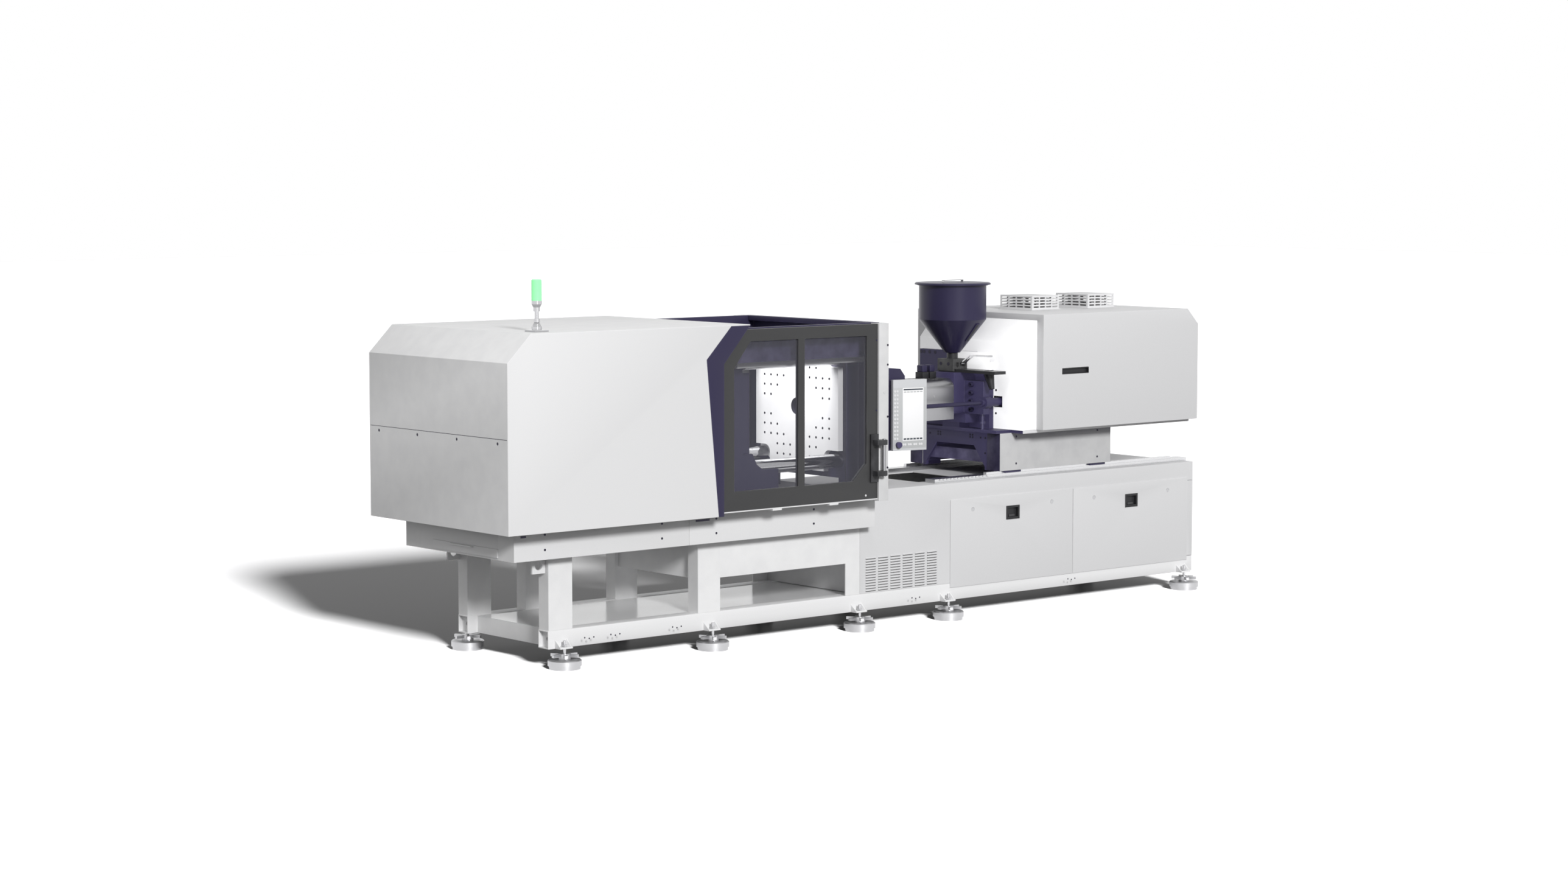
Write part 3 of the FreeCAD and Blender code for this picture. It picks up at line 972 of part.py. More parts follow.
def make_injection_frame():
    """The unit's base plate, front and rear plates, four guide rods, and the injection motor behind them."""
    nose = box("base_nose", ("base_plate_left", "unit_left"), ("-base_plate_half", "base_plate_half"),
               ("deck_low", "unit_top"))
    base = box("base_plate", ("unit_left", "unit_right"), ("-unit_half", "unit_half"),
               ("deck_low", "unit_top"))
    front = prism("front_plate", "YZ", (("front_plate_front", "unit_top"),
                                        ("front_plate_front", "front_plate_step_high"),
                                        ("front_plate_step", "front_plate_step_high"),
                                        ("front_plate_step", "front_plate_top"),
                                        ("front_plate_back", "front_plate_top"),
                                        ("front_plate_back", "unit_top")), "front_plate_left",
                  "front_plate_left + front_plate_thick")
    rear = box("rear_plate", ("rear_plate_left", "rear_plate_left + rear_plate_thick"),
               ("-rear_plate_half", "rear_plate_half"), ("unit_top", "centre_height + rear_plate_rise"))
    motor = round_bar("unit_motor", "x", ("rear_plate_left + rear_plate_thick", 0, "centre_height"),
                      "unit_motor_long", "unit_motor_radius")
    rods = rods_at("unit_rod", "front_plate_left + front_plate_thick",
                   "rear_plate_left - front_plate_left - front_plate_thick", "unit_rod_radius")
    block = fuse("unit_block", nose, base, front, rear, motor, *rods)
    screw = round_bar("melt_screw_way", "x", ("front_plate_left - 1", 0, "centre_height"),
                      "front_plate_thick + 2", "melt_screw_radius + run_fit")
    ball = round_bar("ball_screw_way", "x", ("rear_plate_left - 1", 0, "centre_height"),
                     "ball_screw_right - rear_plate_left + 1 + seat_gap", "ball_screw_radius + run_fit")
    cylinder = round_bar("cylinder_way", "x", ("front_plate_left - 1", "rod_out", TRAVERSE_HEIGHT),
                         "front_plate_thick + 2", "cylinder_radius + seat_gap")
    keep("injection_frame", cut("unit_drilled", block, screw, ball, cylinder))


# Where the nut tube's bore starts, and the ball screw's free end, clear of it over the stroke.
NUT_LEFT = "melt_screw_right + nut_wall"
BALL_LEFT = f"{NUT_LEFT} + inject_stroke + screw_clear"


def make_injection_drive():
    """The injection plate with its long nut tube, the ball screw in it, and the plasticising screw."""
    plate = fuse("inject_block", box("inject_plate", ("inject_left", "inject_left + inject_thick"),
                                     ("-inject_half", "inject_half"),
                                     ("centre_height - inject_rise", "centre_height + inject_rise")),
                 round_bar("nut_tube", "x", ("inject_left + inject_thick - 1", 0, "centre_height"),
                           "nut_tube_right - inject_left - inject_thick + 1", "nut_tube_radius"))
    bores = rods_at("inject_bore", "inject_left - 1", "inject_thick + 2", "unit_rod_radius + run_fit")
    front = round_bar("melt_bearing", "x", ("inject_left - 1", 0, "centre_height"),
                      "melt_screw_right - inject_left + 1 + seat_gap", "melt_screw_radius + run_fit")
    tube = round_bar("nut_bore", "x", (NUT_LEFT, 0, "centre_height"), f"nut_tube_right + 1 - ({NUT_LEFT})",
                     "ball_screw_radius + run_fit")
    keep("injection_plate", cut("inject_drilled", plate, *bores, front, tube))
    keep("injection_ball_screw", round_bar("ball_screw", "x", (BALL_LEFT, 0, "centre_height"),
                                           f"ball_screw_right - ({BALL_LEFT})", "ball_screw_radius"))
    keep("plasticising_screw", round_bar("melt_screw", "x", ("melt_screw_left", 0, "centre_height"),
                                         "melt_screw_right - melt_screw_left", "melt_screw_radius"))


def make_barrel():
    """The barrel with its heater bands, adapter and nozzle."""
    pieces = [round_bar("barrel_tube", "x", ("barrel_left", 0, "centre_height"), "barrel_right - barrel_left",
                        "barrel_radius"), cone("adapter", "x", ("barrel_left - 60", 0, "centre_height"), 61,
                                               "nozzle_radius + 8", "adapter_radius"),
              round_bar("nozzle", "x", ("nozzle_tip + nozzle_long / 4", 0, "centre_height"),
                        "barrel_left - 59 - nozzle_tip - nozzle_long / 4", "nozzle_radius"),
              cone("nozzle_nose", "x", ("nozzle_tip", 0, "centre_height"), "nozzle_long / 4 + 1",
                   "nozzle_radius * 0.5", "nozzle_radius")]
    pieces += [round_bar("band", "x", (f"band_first + {i} * band_step", 0, "centre_height"), "band_long",
                         "band_radius") for i in range(SIZES["band_count"])]
    bore = round_bar("barrel_bore", "x", ("melt_screw_left - 6", 0, "centre_height"),
                     "barrel_right - melt_screw_left + 7", "melt_screw_radius + run_fit")
    feed = round_bar("feed_bore", "z", ("hopper_x", 0, "centre_height + 5"), "barrel_radius", "throat_radius")
    keep("barrel", cut("barrel_bored", fuse("barrel_block", *pieces), fuse("barrel_way", bore, feed)))


def arched(name, start, end, inset):
    """A block along X with two rounded top edges, inset from the shield's outside."""
    half = f"(shield_half - {inset})"
    top = f"({SHIELD_TOP} - {inset})"
    turn = f"(shield_round - {inset})"
    corners = [round_bar(name + "_corner", "x", (start, f"{y} * (shield_half - shield_round)",
                                                 f"{SHIELD_TOP} - shield_round"), f"({end}) - ({start})",
                         turn) for y in (-1, 1)]
    return fuse(name, box(name + "_low", (start, end), (f"-{half}", half),
                          (SHIELD_LOW, f"{SHIELD_TOP} - shield_round")),
                box(name + "_high", (start, end), ("-shield_half + shield_round",
                                                   "shield_half - shield_round"), (SHIELD_LOW, top)),
                *corners)


def make_heater_shield():
    """The polished sheet over the heater bands, slotted along its shoulders, on two end plates."""
    skin = cut("shield_hollow", arched("shield_out", "shield_left", "shield_right", "0"),
               arched("shield_in", "shield_left - 1", "shield_right + 1", "shield_skin"))
    skin = cut("shield_open", skin, box("shield_mouth", ("shield_left - 2", "shield_right + 2"),
                                        ("-shield_half + shield_skin", "shield_half - shield_skin"),
                                        (f"{SHIELD_LOW} - 1", f"{SHIELD_LOW} + 1")))
    slots = [box("shield_slot", (f"shield_slot_first + {i} * shield_slot_step",
                                 f"shield_slot_first + {i} * shield_slot_step + shield_slot_wide"),
                 (f"{y} * (shield_half - shield_round) - shield_slot_long / 2",
                  f"{y} * (shield_half - shield_round) + shield_slot_long / 2"),
                 (f"{SHIELD_TOP} - shield_skin - 1", f"{SHIELD_TOP} + 1"))
             for i in range(SIZES["shield_slots"]) for y in (-1, 1)]
    ends = []
    for start in ("shield_left + 8", "shield_right - 16"):
        plate = arched("shield_end", start, f"{start} + 8", "shield_skin - 1")
        ends.append(cut("shield_end_bored", plate, round_bar("barrel_hole", "x",
                                                             (f"{start} - 1", 0, "centre_height"), 10,
                                                             "barrel_radius + seat_gap")))
    keep("heater_shield", fuse("shield", cut("shield_slotted", skin, *slots), *ends))


def make_throat_housing():
    """The cast feed throat with its ears, saddle and adjusting bolts, and the traverse cylinders."""
    centre = box("throat", ("throat_left", "front_plate_left"), ("-throat_half", "throat_half"),
                 (THROAT_LOW, THROAT_TOP))
    ears = box("throat_ears", ("flange_left", "flange_left + flange_thick"), ("-flange_half", "flange_half"),
               (THROAT_LOW, FLANGE_TOP))
    saddle = box("saddle", ("saddle_left", "front_plate_left"), ("-saddle_half", "saddle_half"),
                 (SADDLE_LOW, f"{THROAT_LOW} + 1"))
    web = box("saddle_web", ("base_plate_left", "front_plate_left"), ("-saddle_web", "saddle_web"),
              ("unit_top", f"{SADDLE_LOW} + 1"))
    cylinders = []
    bores = []
    jacks = []
    for y in (-1, 1):
        side = (f"{y} * rod_out", TRAVERSE_HEIGHT)
        cylinders += [round_bar("rod_boss", "x", ("flange_left", *side), "flange_thick", "boss_radius"),
                      round_bar("collar", "x", ("collar_left", *side), "flange_left - collar_left + 1",
                                "collar_radius"),
                      round_bar("cylinder", "x", ("flange_left + flange_thick - 1", *side),
                                "cylinder_right - flange_left - flange_thick + 1", "cylinder_radius")]
        bores.append(round_bar("cylinder_bore", "x", ("collar_left - 1", *side),
                               "cylinder_right - collar_left - 9", "traverse_radius + run_fit"))
        jacks += [round_bar("jack", "z", ("jack_x", f"{y} * jack_side", "unit_top"),
                            f"{THROAT_LOW} - unit_top + 1", "jack_radius"),
                  round_bar("jack_head", "z", ("jack_x", f"{y} * jack_side", "unit_top + 40"),
                            "jack_head_high", "jack_head")]
    block = fuse("throat_block", centre, ears, saddle, web, *cylinders, *jacks)
    barrel = round_bar("barrel_seat", "x", ("throat_left - 1", 0, "centre_height"),
                       "front_plate_left - throat_left + 2", "barrel_radius + run_fit")
    feed = round_bar("feed_hole", "z", ("hopper_x", 0, "centre_height"), f"{THROAT_TOP} - centre_height + 1",
                     "feed_radius")
    keep("throat_housing", cut("throat_bored", block, fuse("throat_way", barrel, feed), *bores))


def make_traverse_rods():
    """The two rods that pull the carriage to the fixed platen."""
    rod = fuse("traverse_rod", round_bar("rod", "x", ("fixed_back", "-rod_out", TRAVERSE_HEIGHT),
                                         "traverse_right - fixed_back", "traverse_radius"),
               round_bar("rod_foot", "x", ("fixed_back", "-rod_out", TRAVERSE_HEIGHT), "rod_flange_thick",
                         "rod_flange"))
    keep("traverse_rods", both_sides("traverse", rod, group))


# ---------------------------------------------------------------- hopper

def leaning_cone(name, tip, top):
    """The outside or the inside of the discharge tube, from its hole in the bar to its tip."""
    part = doc.addObject("Part::Cone", name)
    part.Placement = FreeCAD.Placement(V(0, 0, 0), FreeCAD.Rotation(V(-1, 0, 0), 10))
    part.setExpression("Radius1", bound(tip))
    part.setExpression("Radius2", bound(top))
    part.setExpression("Height", bound("chute_drop + 4"))
    part.setExpression("Placement.Rotation.Angle", bound("atan(-chute_lean / chute_drop)"))
    part.setExpression("Placement.Base.x", bound("hopper_x"))
    part.setExpression("Placement.Base.y", bound("drop_side + chute_lean"))
    part.setExpression("Placement.Base.z", bound(CHUTE_TIP))
    return part


def make_slide_bar():
    """The bar that the hopper slides along, with the feed hole and the discharge tube under its front end."""
    bar = box("bar", ("hopper_x - slide_half_long", "hopper_x + slide_half_long"),
              ("slide_front", "slide_back"), (THROAT_TOP, f"{THROAT_TOP} + slide_thick"))
    chute = leaning_cone("chute", "chute_tip_radius", "chute_radius")
    hollow = leaning_cone("chute_in", "chute_tip_radius - chute_wall", "chute_radius - chute_wall")
    over = box("chute_over", ("hopper_x - 60", "hopper_x + 60"), ("drop_side - 70", "drop_side + 70"),
               (THROAT_TOP, f"{THROAT_TOP} + 60"))
    tube = cut("chute_trimmed", chute, over)
    holes = [round_bar("bar_hole", "z", ("hopper_x", y, f"{THROAT_TOP} - 1"), "slide_thick + 2",
                       "feed_radius") for y in (0, "drop_side")]
    keep("hopper_slide_bar", cut("slide", cut("slide_drilled", fuse("slide_block", bar, tube), *holes),
                                 hollow))


def make_hopper():
    """The spun hopper on its slide block, the lid with its strap, and the lever that locks it."""
    low = f"{THROAT_TOP} + slide_thick"
    shell = turned("hopper_shell", (("feed_radius", f"{BLOCK_TOP} - 1"),
                                    ("neck_radius + 4", f"{BLOCK_TOP} - 1"), ("neck_radius + 4", CONE_LOW),
                                    ("cone_radius", CONE_LOW), ("drum_radius", DRUM_LOW),
                                    ("drum_radius", f"{DRUM_TOP} - rim_thick"),
                                    ("rim_radius", f"{DRUM_TOP} - rim_thick"), ("rim_radius", DRUM_TOP),
                                    ("drum_radius - drum_wall", DRUM_TOP),
                                    ("drum_radius - drum_wall", f"{DRUM_LOW} + 2"),
                                    ("feed_radius", f"{CONE_LOW} - 12")), "hopper_x", "0")
    block = box("block", ("hopper_x - block_half_long", "hopper_x + block_half_long"),
                ("-block_half_wide", "block_half_wide"), (f"{low} + seat_gap", BLOCK_TOP))
    lips = [box("block_lip", ends, ("-block_half_wide", "block_half_wide"),
                (f"{low} + seat_gap - block_lip", f"{low} + 2"))
            for ends in (("hopper_x - block_half_long", "hopper_x - slide_half_long - seat_gap"),
                         ("hopper_x + slide_half_long + seat_gap", "hopper_x + block_half_long"))]
    ear = [box("lever_ear", (f"hopper_x + {x} * (lever_width / 2 + lever_ear) - lever_ear / 2",
                             f"hopper_x + {x} * (lever_width / 2 + lever_ear) + lever_ear / 2"),
               ("lever_pivot_y - 10", "-block_half_wide + 1"),
               (f"{LEVER_PIVOT_Z} - 14", f"{LEVER_PIVOT_Z} + 12")) for x in (-1, 1)]
    feed = round_bar("block_bore", "z", ("hopper_x", 0, f"{low} - 1"), f"{BLOCK_TOP} - ({low}) + 2",
                     "feed_radius")
    pin = round_bar("ear_bore", "x", ("hopper_x - lever_width", "lever_pivot_y", LEVER_PIVOT_Z),
                    "2 * lever_width", "lever_pin + run_fit")
    keep("hopper", cut("hopper_bored", fuse("hopper_block", shell, block, *lips, *ear), feed, pin))
    disc = turned("lid_disc", (("0", DRUM_TOP), ("lid_radius", DRUM_TOP),
                               ("lid_radius", f"{DRUM_TOP} + lid_thick - 6"),
                               ("lid_radius - 8", f"{DRUM_TOP} + lid_thick"),
                               ("0", f"{DRUM_TOP} + lid_thick")), "hopper_x", "0")
    top = f"{DRUM_TOP} + lid_thick"
    strap = box("strap", ("hopper_x - strap_half", "hopper_x + strap_half"),
                ("-strap_wide / 2", "strap_wide / 2"), (f"{top} + strap_high - strap_thick",
                                                        f"{top} + strap_high"))
    legs = [box("strap_leg", (f"hopper_x + {x} * (strap_half - strap_thick / 2) - strap_thick / 2",
                              f"hopper_x + {x} * (strap_half - strap_thick / 2) + strap_thick / 2"),
                ("-strap_wide / 2", "strap_wide / 2"), (f"{top} - 1", f"{top} + strap_high - 1"))
            for x in (-1, 1)]
    keep("hopper_lid", fuse("lid", disc, strap, *legs))


def bar_between(name, x, start, end, thick, wide):
    """A flat bar in a plane across X, between two points given as Y and Z expressions."""
    run = f"(({end[0]}) - ({start[0]}))"
    rise = f"(({end[1]}) - ({start[1]}))"
    part = doc.addObject("Part::Box", name)
    part.setExpression("Length", bound(wide))
    part.setExpression("Width", bound(f"sqrt({run}^2 + {rise}^2)"))
    part.setExpression("Height", bound(thick))
    part.Placement = FreeCAD.Placement(V(0, 0, 0), FreeCAD.Rotation(V(-1, 0, 0), 10))
    part.setExpression("Placement.Rotation.Angle", bound(f"180 deg + atan({rise} / -{run})"))
    part.setExpression("Placement.Base.x", bound(x))
    part.setExpression("Placement.Base.y", bound(start[0]))
    part.setExpression("Placement.Base.z", bound(f"({start[1]}) + ({thick}) / 2"))
    return part


def make_hopper_lever():
    """The bent lever of the hopper's lock: two arms from a pivot pin, joined by a loop grip."""
    pivot = ("lever_pivot_y", LEVER_PIVOT_Z)
    bend = ("lever_bend_y", LEVER_BEND_Z)
    tip = ("lever_tip_y", LEVER_TIP_Z)
    pieces = [round_bar("lever_shaft", "x", ("hopper_x - lever_width / 2 - lever_ear", *pivot),
                        "lever_width + 2 * lever_ear", "lever_pin")]
    for x in (f"hopper_x - lever_width / 2 + 2", f"hopper_x + lever_width / 2 - lever_arm - 2"):
        pieces.append(round_bar("lever_hub", "x", (x, *pivot), "lever_arm", "lever_arm"))
        pieces.append(bar_between("lever_arm", x, pivot, bend, "lever_arm", "lever_arm"))
        pieces.append(round_bar("lever_bend", "x", (x, *bend), "lever_arm", "lever_arm * 0.6"))
        pieces.append(bar_between("lever_grip", x, bend, tip, "lever_arm", "lever_arm"))
    pieces.append(round_bar("lever_end", "x", ("hopper_x - lever_width / 2 + 2", *tip), "lever_width - 4",
                            "lever_arm * 0.7"))
    keep("hopper_lever", fuse("lever", *pieces))


# ---------------------------------------------------------------- injection cover, hood and vents

VENTS = (("vent_first_x", "vent_first_y"), ("vent_second_x", "vent_second_y"))


def make_injection_cover():
    """The white housing over the injection unit, with a recessed pull and two fan openings in its roof."""
    slope = (("icover_right - icover_slope", "icover_top"), ("icover_right", "icover_top - icover_slope"),
             ("icover_right", "unit_top"))
    inner = (("icover_right - icover_slope - icover_skin * 0.41", "icover_top - icover_skin"),
             ("icover_right - icover_skin", "icover_top - icover_slope - icover_skin * 0.41"),
             ("icover_right - icover_skin", "unit_top"))
    wrap = prism("icover_wrap", "XZ", (("icover_left", "icover_top"), *slope, *reversed(inner),
                                       ("icover_left", "icover_top - icover_skin")), "-icover_half",
                 "icover_half")
    skin = prism("icover_side", "XZ", (("icover_left", "unit_top"), ("icover_left", "icover_top"), *slope),
                 "-icover_half", "-icover_half + icover_skin")
    flange = box("icover_flange", ("icover_left", "icover_right - icover_skin"),
                 ("-icover_half", "-unit_half + 40"), ("unit_top", "unit_top + icover_skin"))
    side = fuse("icover_near", skin, flange)
    front = box("icover_front", ("icover_left", "icover_left + icover_skin"), ("-icover_half", "icover_half"),
                ("unit_top", "icover_top"))
    mouth = box("icover_mouth", ("icover_left - 1", "icover_left + icover_skin + 1"),
                ("hood_front + hood_skin", "hood_back - hood_skin"),
                ("unit_top - 1", "hood_high_top - hood_skin - 4"))
    tray = box("pull_tray", ("pull_left - pull_wall", "pull_left + pull_long + pull_wall"),
               ("-icover_half + 2", "-icover_half + pull_deep + pull_wall"),
               ("pull_low - pull_wall", "pull_low + pull_high + pull_wall"))
    slot = box("pull_slot", ("pull_left", "pull_left + pull_long"),
               ("-icover_half - 1", "-icover_half + pull_deep"), ("pull_low", "pull_low + pull_high"))
    fans = [round_bar("fan_opening", "z", (f"{x} + vent_long / 2", f"{y} + vent_wide / 2",
                                           "icover_top - icover_skin - 1"), "icover_skin + 2",
                      "fan_radius + 6") for x, y in VENTS]
    shell = fuse("icover_shell", wrap, side, mirrored("icover_far", side), cut("icover_face", front, mouth),
                 tray)
    keep("injection_cover", cut("icover_cut", shell, slot, *fans))


def make_injection_hood():
    """The sheet hood in front of the cover, over the throat end of the unit."""
    def profile(inset, left):
        return ((left, "unit_top"), (left, f"hood_low_top - {inset} * 0.5"),
                ("icover_left", f"hood_high_top - {inset} * 1.2"), ("icover_left", "unit_top"))

    outer = prism("hood_out", "XZ", profile("0", "hood_left"), "hood_front", "hood_back")
    inner = prism("hood_in", "XZ", (("hood_left + hood_skin", "unit_top - 1"),
                                    ("hood_left + hood_skin", "hood_low_top - hood_skin * 0.7"),
                                    ("icover_left + 1", "hood_high_top - hood_skin * 1.4"),
                                    ("icover_left + 1", "unit_top - 1")),
                  "hood_front + hood_skin", "hood_back - hood_skin")
    mouth = box("hood_mouth", ("hood_left - 1", "hood_left + hood_skin + 1"),
                ("front_plate_front + 8", "hood_mouth_back"), ("hood_mouth_low", "hood_mouth_high"))
    slot = box("hood_slot", ("hood_left - 1", "hood_left + hood_skin + 1"),
               ("hood_slot_front", "hood_slot_back"), ("hood_slot_low", "hood_slot_high"))
    keep("injection_hood", cut("hood_cut", cut("hood_shell", outer, inner), mouth, slot))


def make_roof_vents():
    """Two slotted exhaust boxes on the cover's roof, each with a bar that carries its fan."""
    vents = []
    for x, y in VENTS:
        lip = box("vent_lip", (f"{x} - vent_lip", f"{x} + vent_long + vent_lip"),
                  (f"{y} - vent_lip", f"{y} + vent_wide + vent_lip"),
                  ("icover_top", "icover_top + vent_lip_thick"))
        cage = box("vent_cage", (x, f"{x} + vent_long"), (y, f"{y} + vent_wide"),
                   ("icover_top", "icover_top + vent_high"))
        room = box("vent_room", (f"{x} + vent_wall", f"{x} + vent_long - vent_wall"),
                   (f"{y} + vent_wall", f"{y} + vent_wide - vent_wall"),
                   ("icover_top - 1", "icover_top + vent_high - vent_wall"))
        slots = []
        for row in range(SIZES["vent_slot_rows"]):
            level = (f"icover_top + vent_slot_low + {row} * vent_slot_step",
                     f"icover_top + vent_slot_low + {row} * vent_slot_step + vent_slot_high")
            for column in range(SIZES["vent_slot_columns"]):
                spans = []
                for start, side in ((x, "vent_long"), (y, "vent_wide")):
                    pitch = f"(({side} - 2 * vent_slot_margin + vent_slot_gap) / vent_slot_columns)"
                    first = f"({start} + vent_slot_margin + {column} * {pitch})"
                    spans.append((first, f"{first} + {pitch} - vent_slot_gap"))
                slots.append(box("vent_slot", spans[0], (f"{y} - 1", f"{y} + vent_wall + 1"), level))
                slots.append(box("vent_slot", spans[0], (f"{y} + vent_wide - vent_wall - 1",
                                                         f"{y} + vent_wide + 1"), level))
                slots.append(box("vent_slot", (f"{x} - 1", f"{x} + vent_wall + 1"), spans[1], level))
                slots.append(box("vent_slot", (f"{x} + vent_long - vent_wall - 1", f"{x} + vent_long + 1"),
                                 spans[1], level))
        middle = (f"{x} + vent_long / 2", f"{y} + vent_wide / 2")
        bar = box("fan_bar", (f"{middle[0]} - fan_bar / 2", f"{middle[0]} + fan_bar / 2"),
                  (f"{y} + 1", f"{y} + vent_wide - 1"), ("icover_top + 2", "icover_top + 2 + fan_bar_thick"))
        pin = round_bar("fan_pin", "z", (*middle, "icover_top + 2"), "fan_low + fan_high - 8", "fan_pin")
        frame = cut("vent_open", fuse("vent_block", lip, cage), room)
        vents.append(fuse("vent", cut("vent_slotted", frame, *slots), bar, pin))
    keep("roof_vents", group("vents", *vents))


def make_fans():
    """The fan wheel of each vent: a hub on the vent's pin, with flat blades."""
    for label, (x, y) in zip(("exhaust_fan_left", "exhaust_fan_right"), VENTS):
        middle = (f"{x} + vent_long / 2", f"{y} + vent_wide / 2")
        low = "icover_top + fan_low"
        hub = round_bar("fan_hub", "z", (*middle, low), "fan_high", "fan_hub")
        blades = []
        for i in range(SIZES["fan_blades"] // 2):
            angle = 360 * i / SIZES["fan_blades"]
            turn = math.radians(angle)
            blade = doc.addObject("Part::Box", "fan_blade")
            blade.setExpression("Length", bound("2 * fan_radius"))
            blade.setExpression("Width", bound("fan_blade * 2.5"))
            blade.setExpression("Height", bound("fan_blade / 4"))
            blade.Placement = FreeCAD.Placement(V(0, 0, 0), FreeCAD.Rotation(V(0, 0, 1), angle))
            blade.setExpression("Placement.Base.x", bound(f"{middle[0]} - fan_radius * {math.cos(turn):.6f}"
                                                          f" + fan_blade * 1.25 * {math.sin(turn):.6f}"))
            blade.setExpression("Placement.Base.y", bound(f"{middle[1]} - fan_radius * {math.sin(turn):.6f}"
                                                          f" - fan_blade * 1.25 * {math.cos(turn):.6f}"))
            blade.setExpression("Placement.Base.z", bound(f"{low} + fan_high / 2"))
            blades.append(blade)
        bore = round_bar("fan_bore", "z", (*middle, f"{low} - 1"), "fan_high - 4", "fan_pin + run_fit")
        keep(label, cut("fan_bored", fuse("fan", hub, *blades), bore))


# ---------------------------------------------------------------- signal lamp

def make_lamp():
    """The signal lamp: a base with a ball socket, the pole on its ball, and the green lens."""
    low = "cover_top"
    base = box("lamp_plate", ("lamp_x - lamp_base_half", "lamp_x + lamp_base_half"),
               ("lamp_y - lamp_base_half", "lamp_y + lamp_base_half"), (low, f"{low} + lamp_base_high"))
    socket = round_bar("socket", "z", ("lamp_x", "lamp_y", f"{low} + lamp_base_high - 1"), "socket_high + 1",
                       "socket_radius")
    room = doc.addObject("Part::Sphere", "socket_room")
    room.setExpression("Radius", bound("ball_radius + ball_play"))
    ball = doc.addObject("Part::Sphere", "ball")
    ball.setExpression("Radius", bound("ball_radius"))
    for sphere in (room, ball):
        for axis, where in zip("xyz", ("lamp_x", "lamp_y", f"{low} + ball_rise")):
            sphere.setExpression(f"Placement.Base.{axis}", bound(where))
    keep("lamp_base", cut("socket_cup", fuse("socket_block", base, socket), room))
    pole = turned("lamp_tube", (("0", "0"), ("pole_radius", "0"),
                                ("pole_radius", "collar_low_rise - ball_rise"),
                                ("lamp_collar", "collar_low_rise - ball_rise"),
                                ("lamp_collar", "collar_low_rise - ball_rise + collar_low_high"),
                                ("pole_radius", "collar_low_rise - ball_rise + collar_low_high"),
                                ("pole_radius", "collar_up_rise - ball_rise"),
                                ("lamp_collar_up", "collar_up_rise - ball_rise"),
                                ("lamp_collar_up", "collar_up_rise - ball_rise + collar_up_high"),
                                ("lens_radius", "cap_rise - ball_rise"),
                                ("lens_radius", "cap_rise - ball_rise + cap_high"),
                                ("0", "cap_rise - ball_rise + cap_high")), "lamp_x", "lamp_y",
                  f"{low} + ball_rise")
    keep("lamp_pole", fuse("lamp_stem", ball, pole))
    lens_low = f"{low} + cap_rise + cap_high"
    keep("lamp_lens", turned("lens", (("0", "0"), ("lens_radius", "0"), ("lens_radius", "lens_high - 6"),
                                      ("lens_radius - 6", "lens_high"), ("0", "lens_high")),
                             "lamp_x", "lamp_y", lens_low))


# ---------------------------------------------------------------- control panel

def panel_point(side, out):
    """A point of the turned panel: how far along its face from the hinge, and how far in front."""
    x = f"panel_pivot_x + ({side}) * cos(panel_turn * 1 deg) - ({out}) * sin(panel_turn * 1 deg)"
    y = f"housing_front - pivot_in - ({side}) * sin(panel_turn * 1 deg) - ({out}) * cos(panel_turn * 1 deg)"
    return x, y


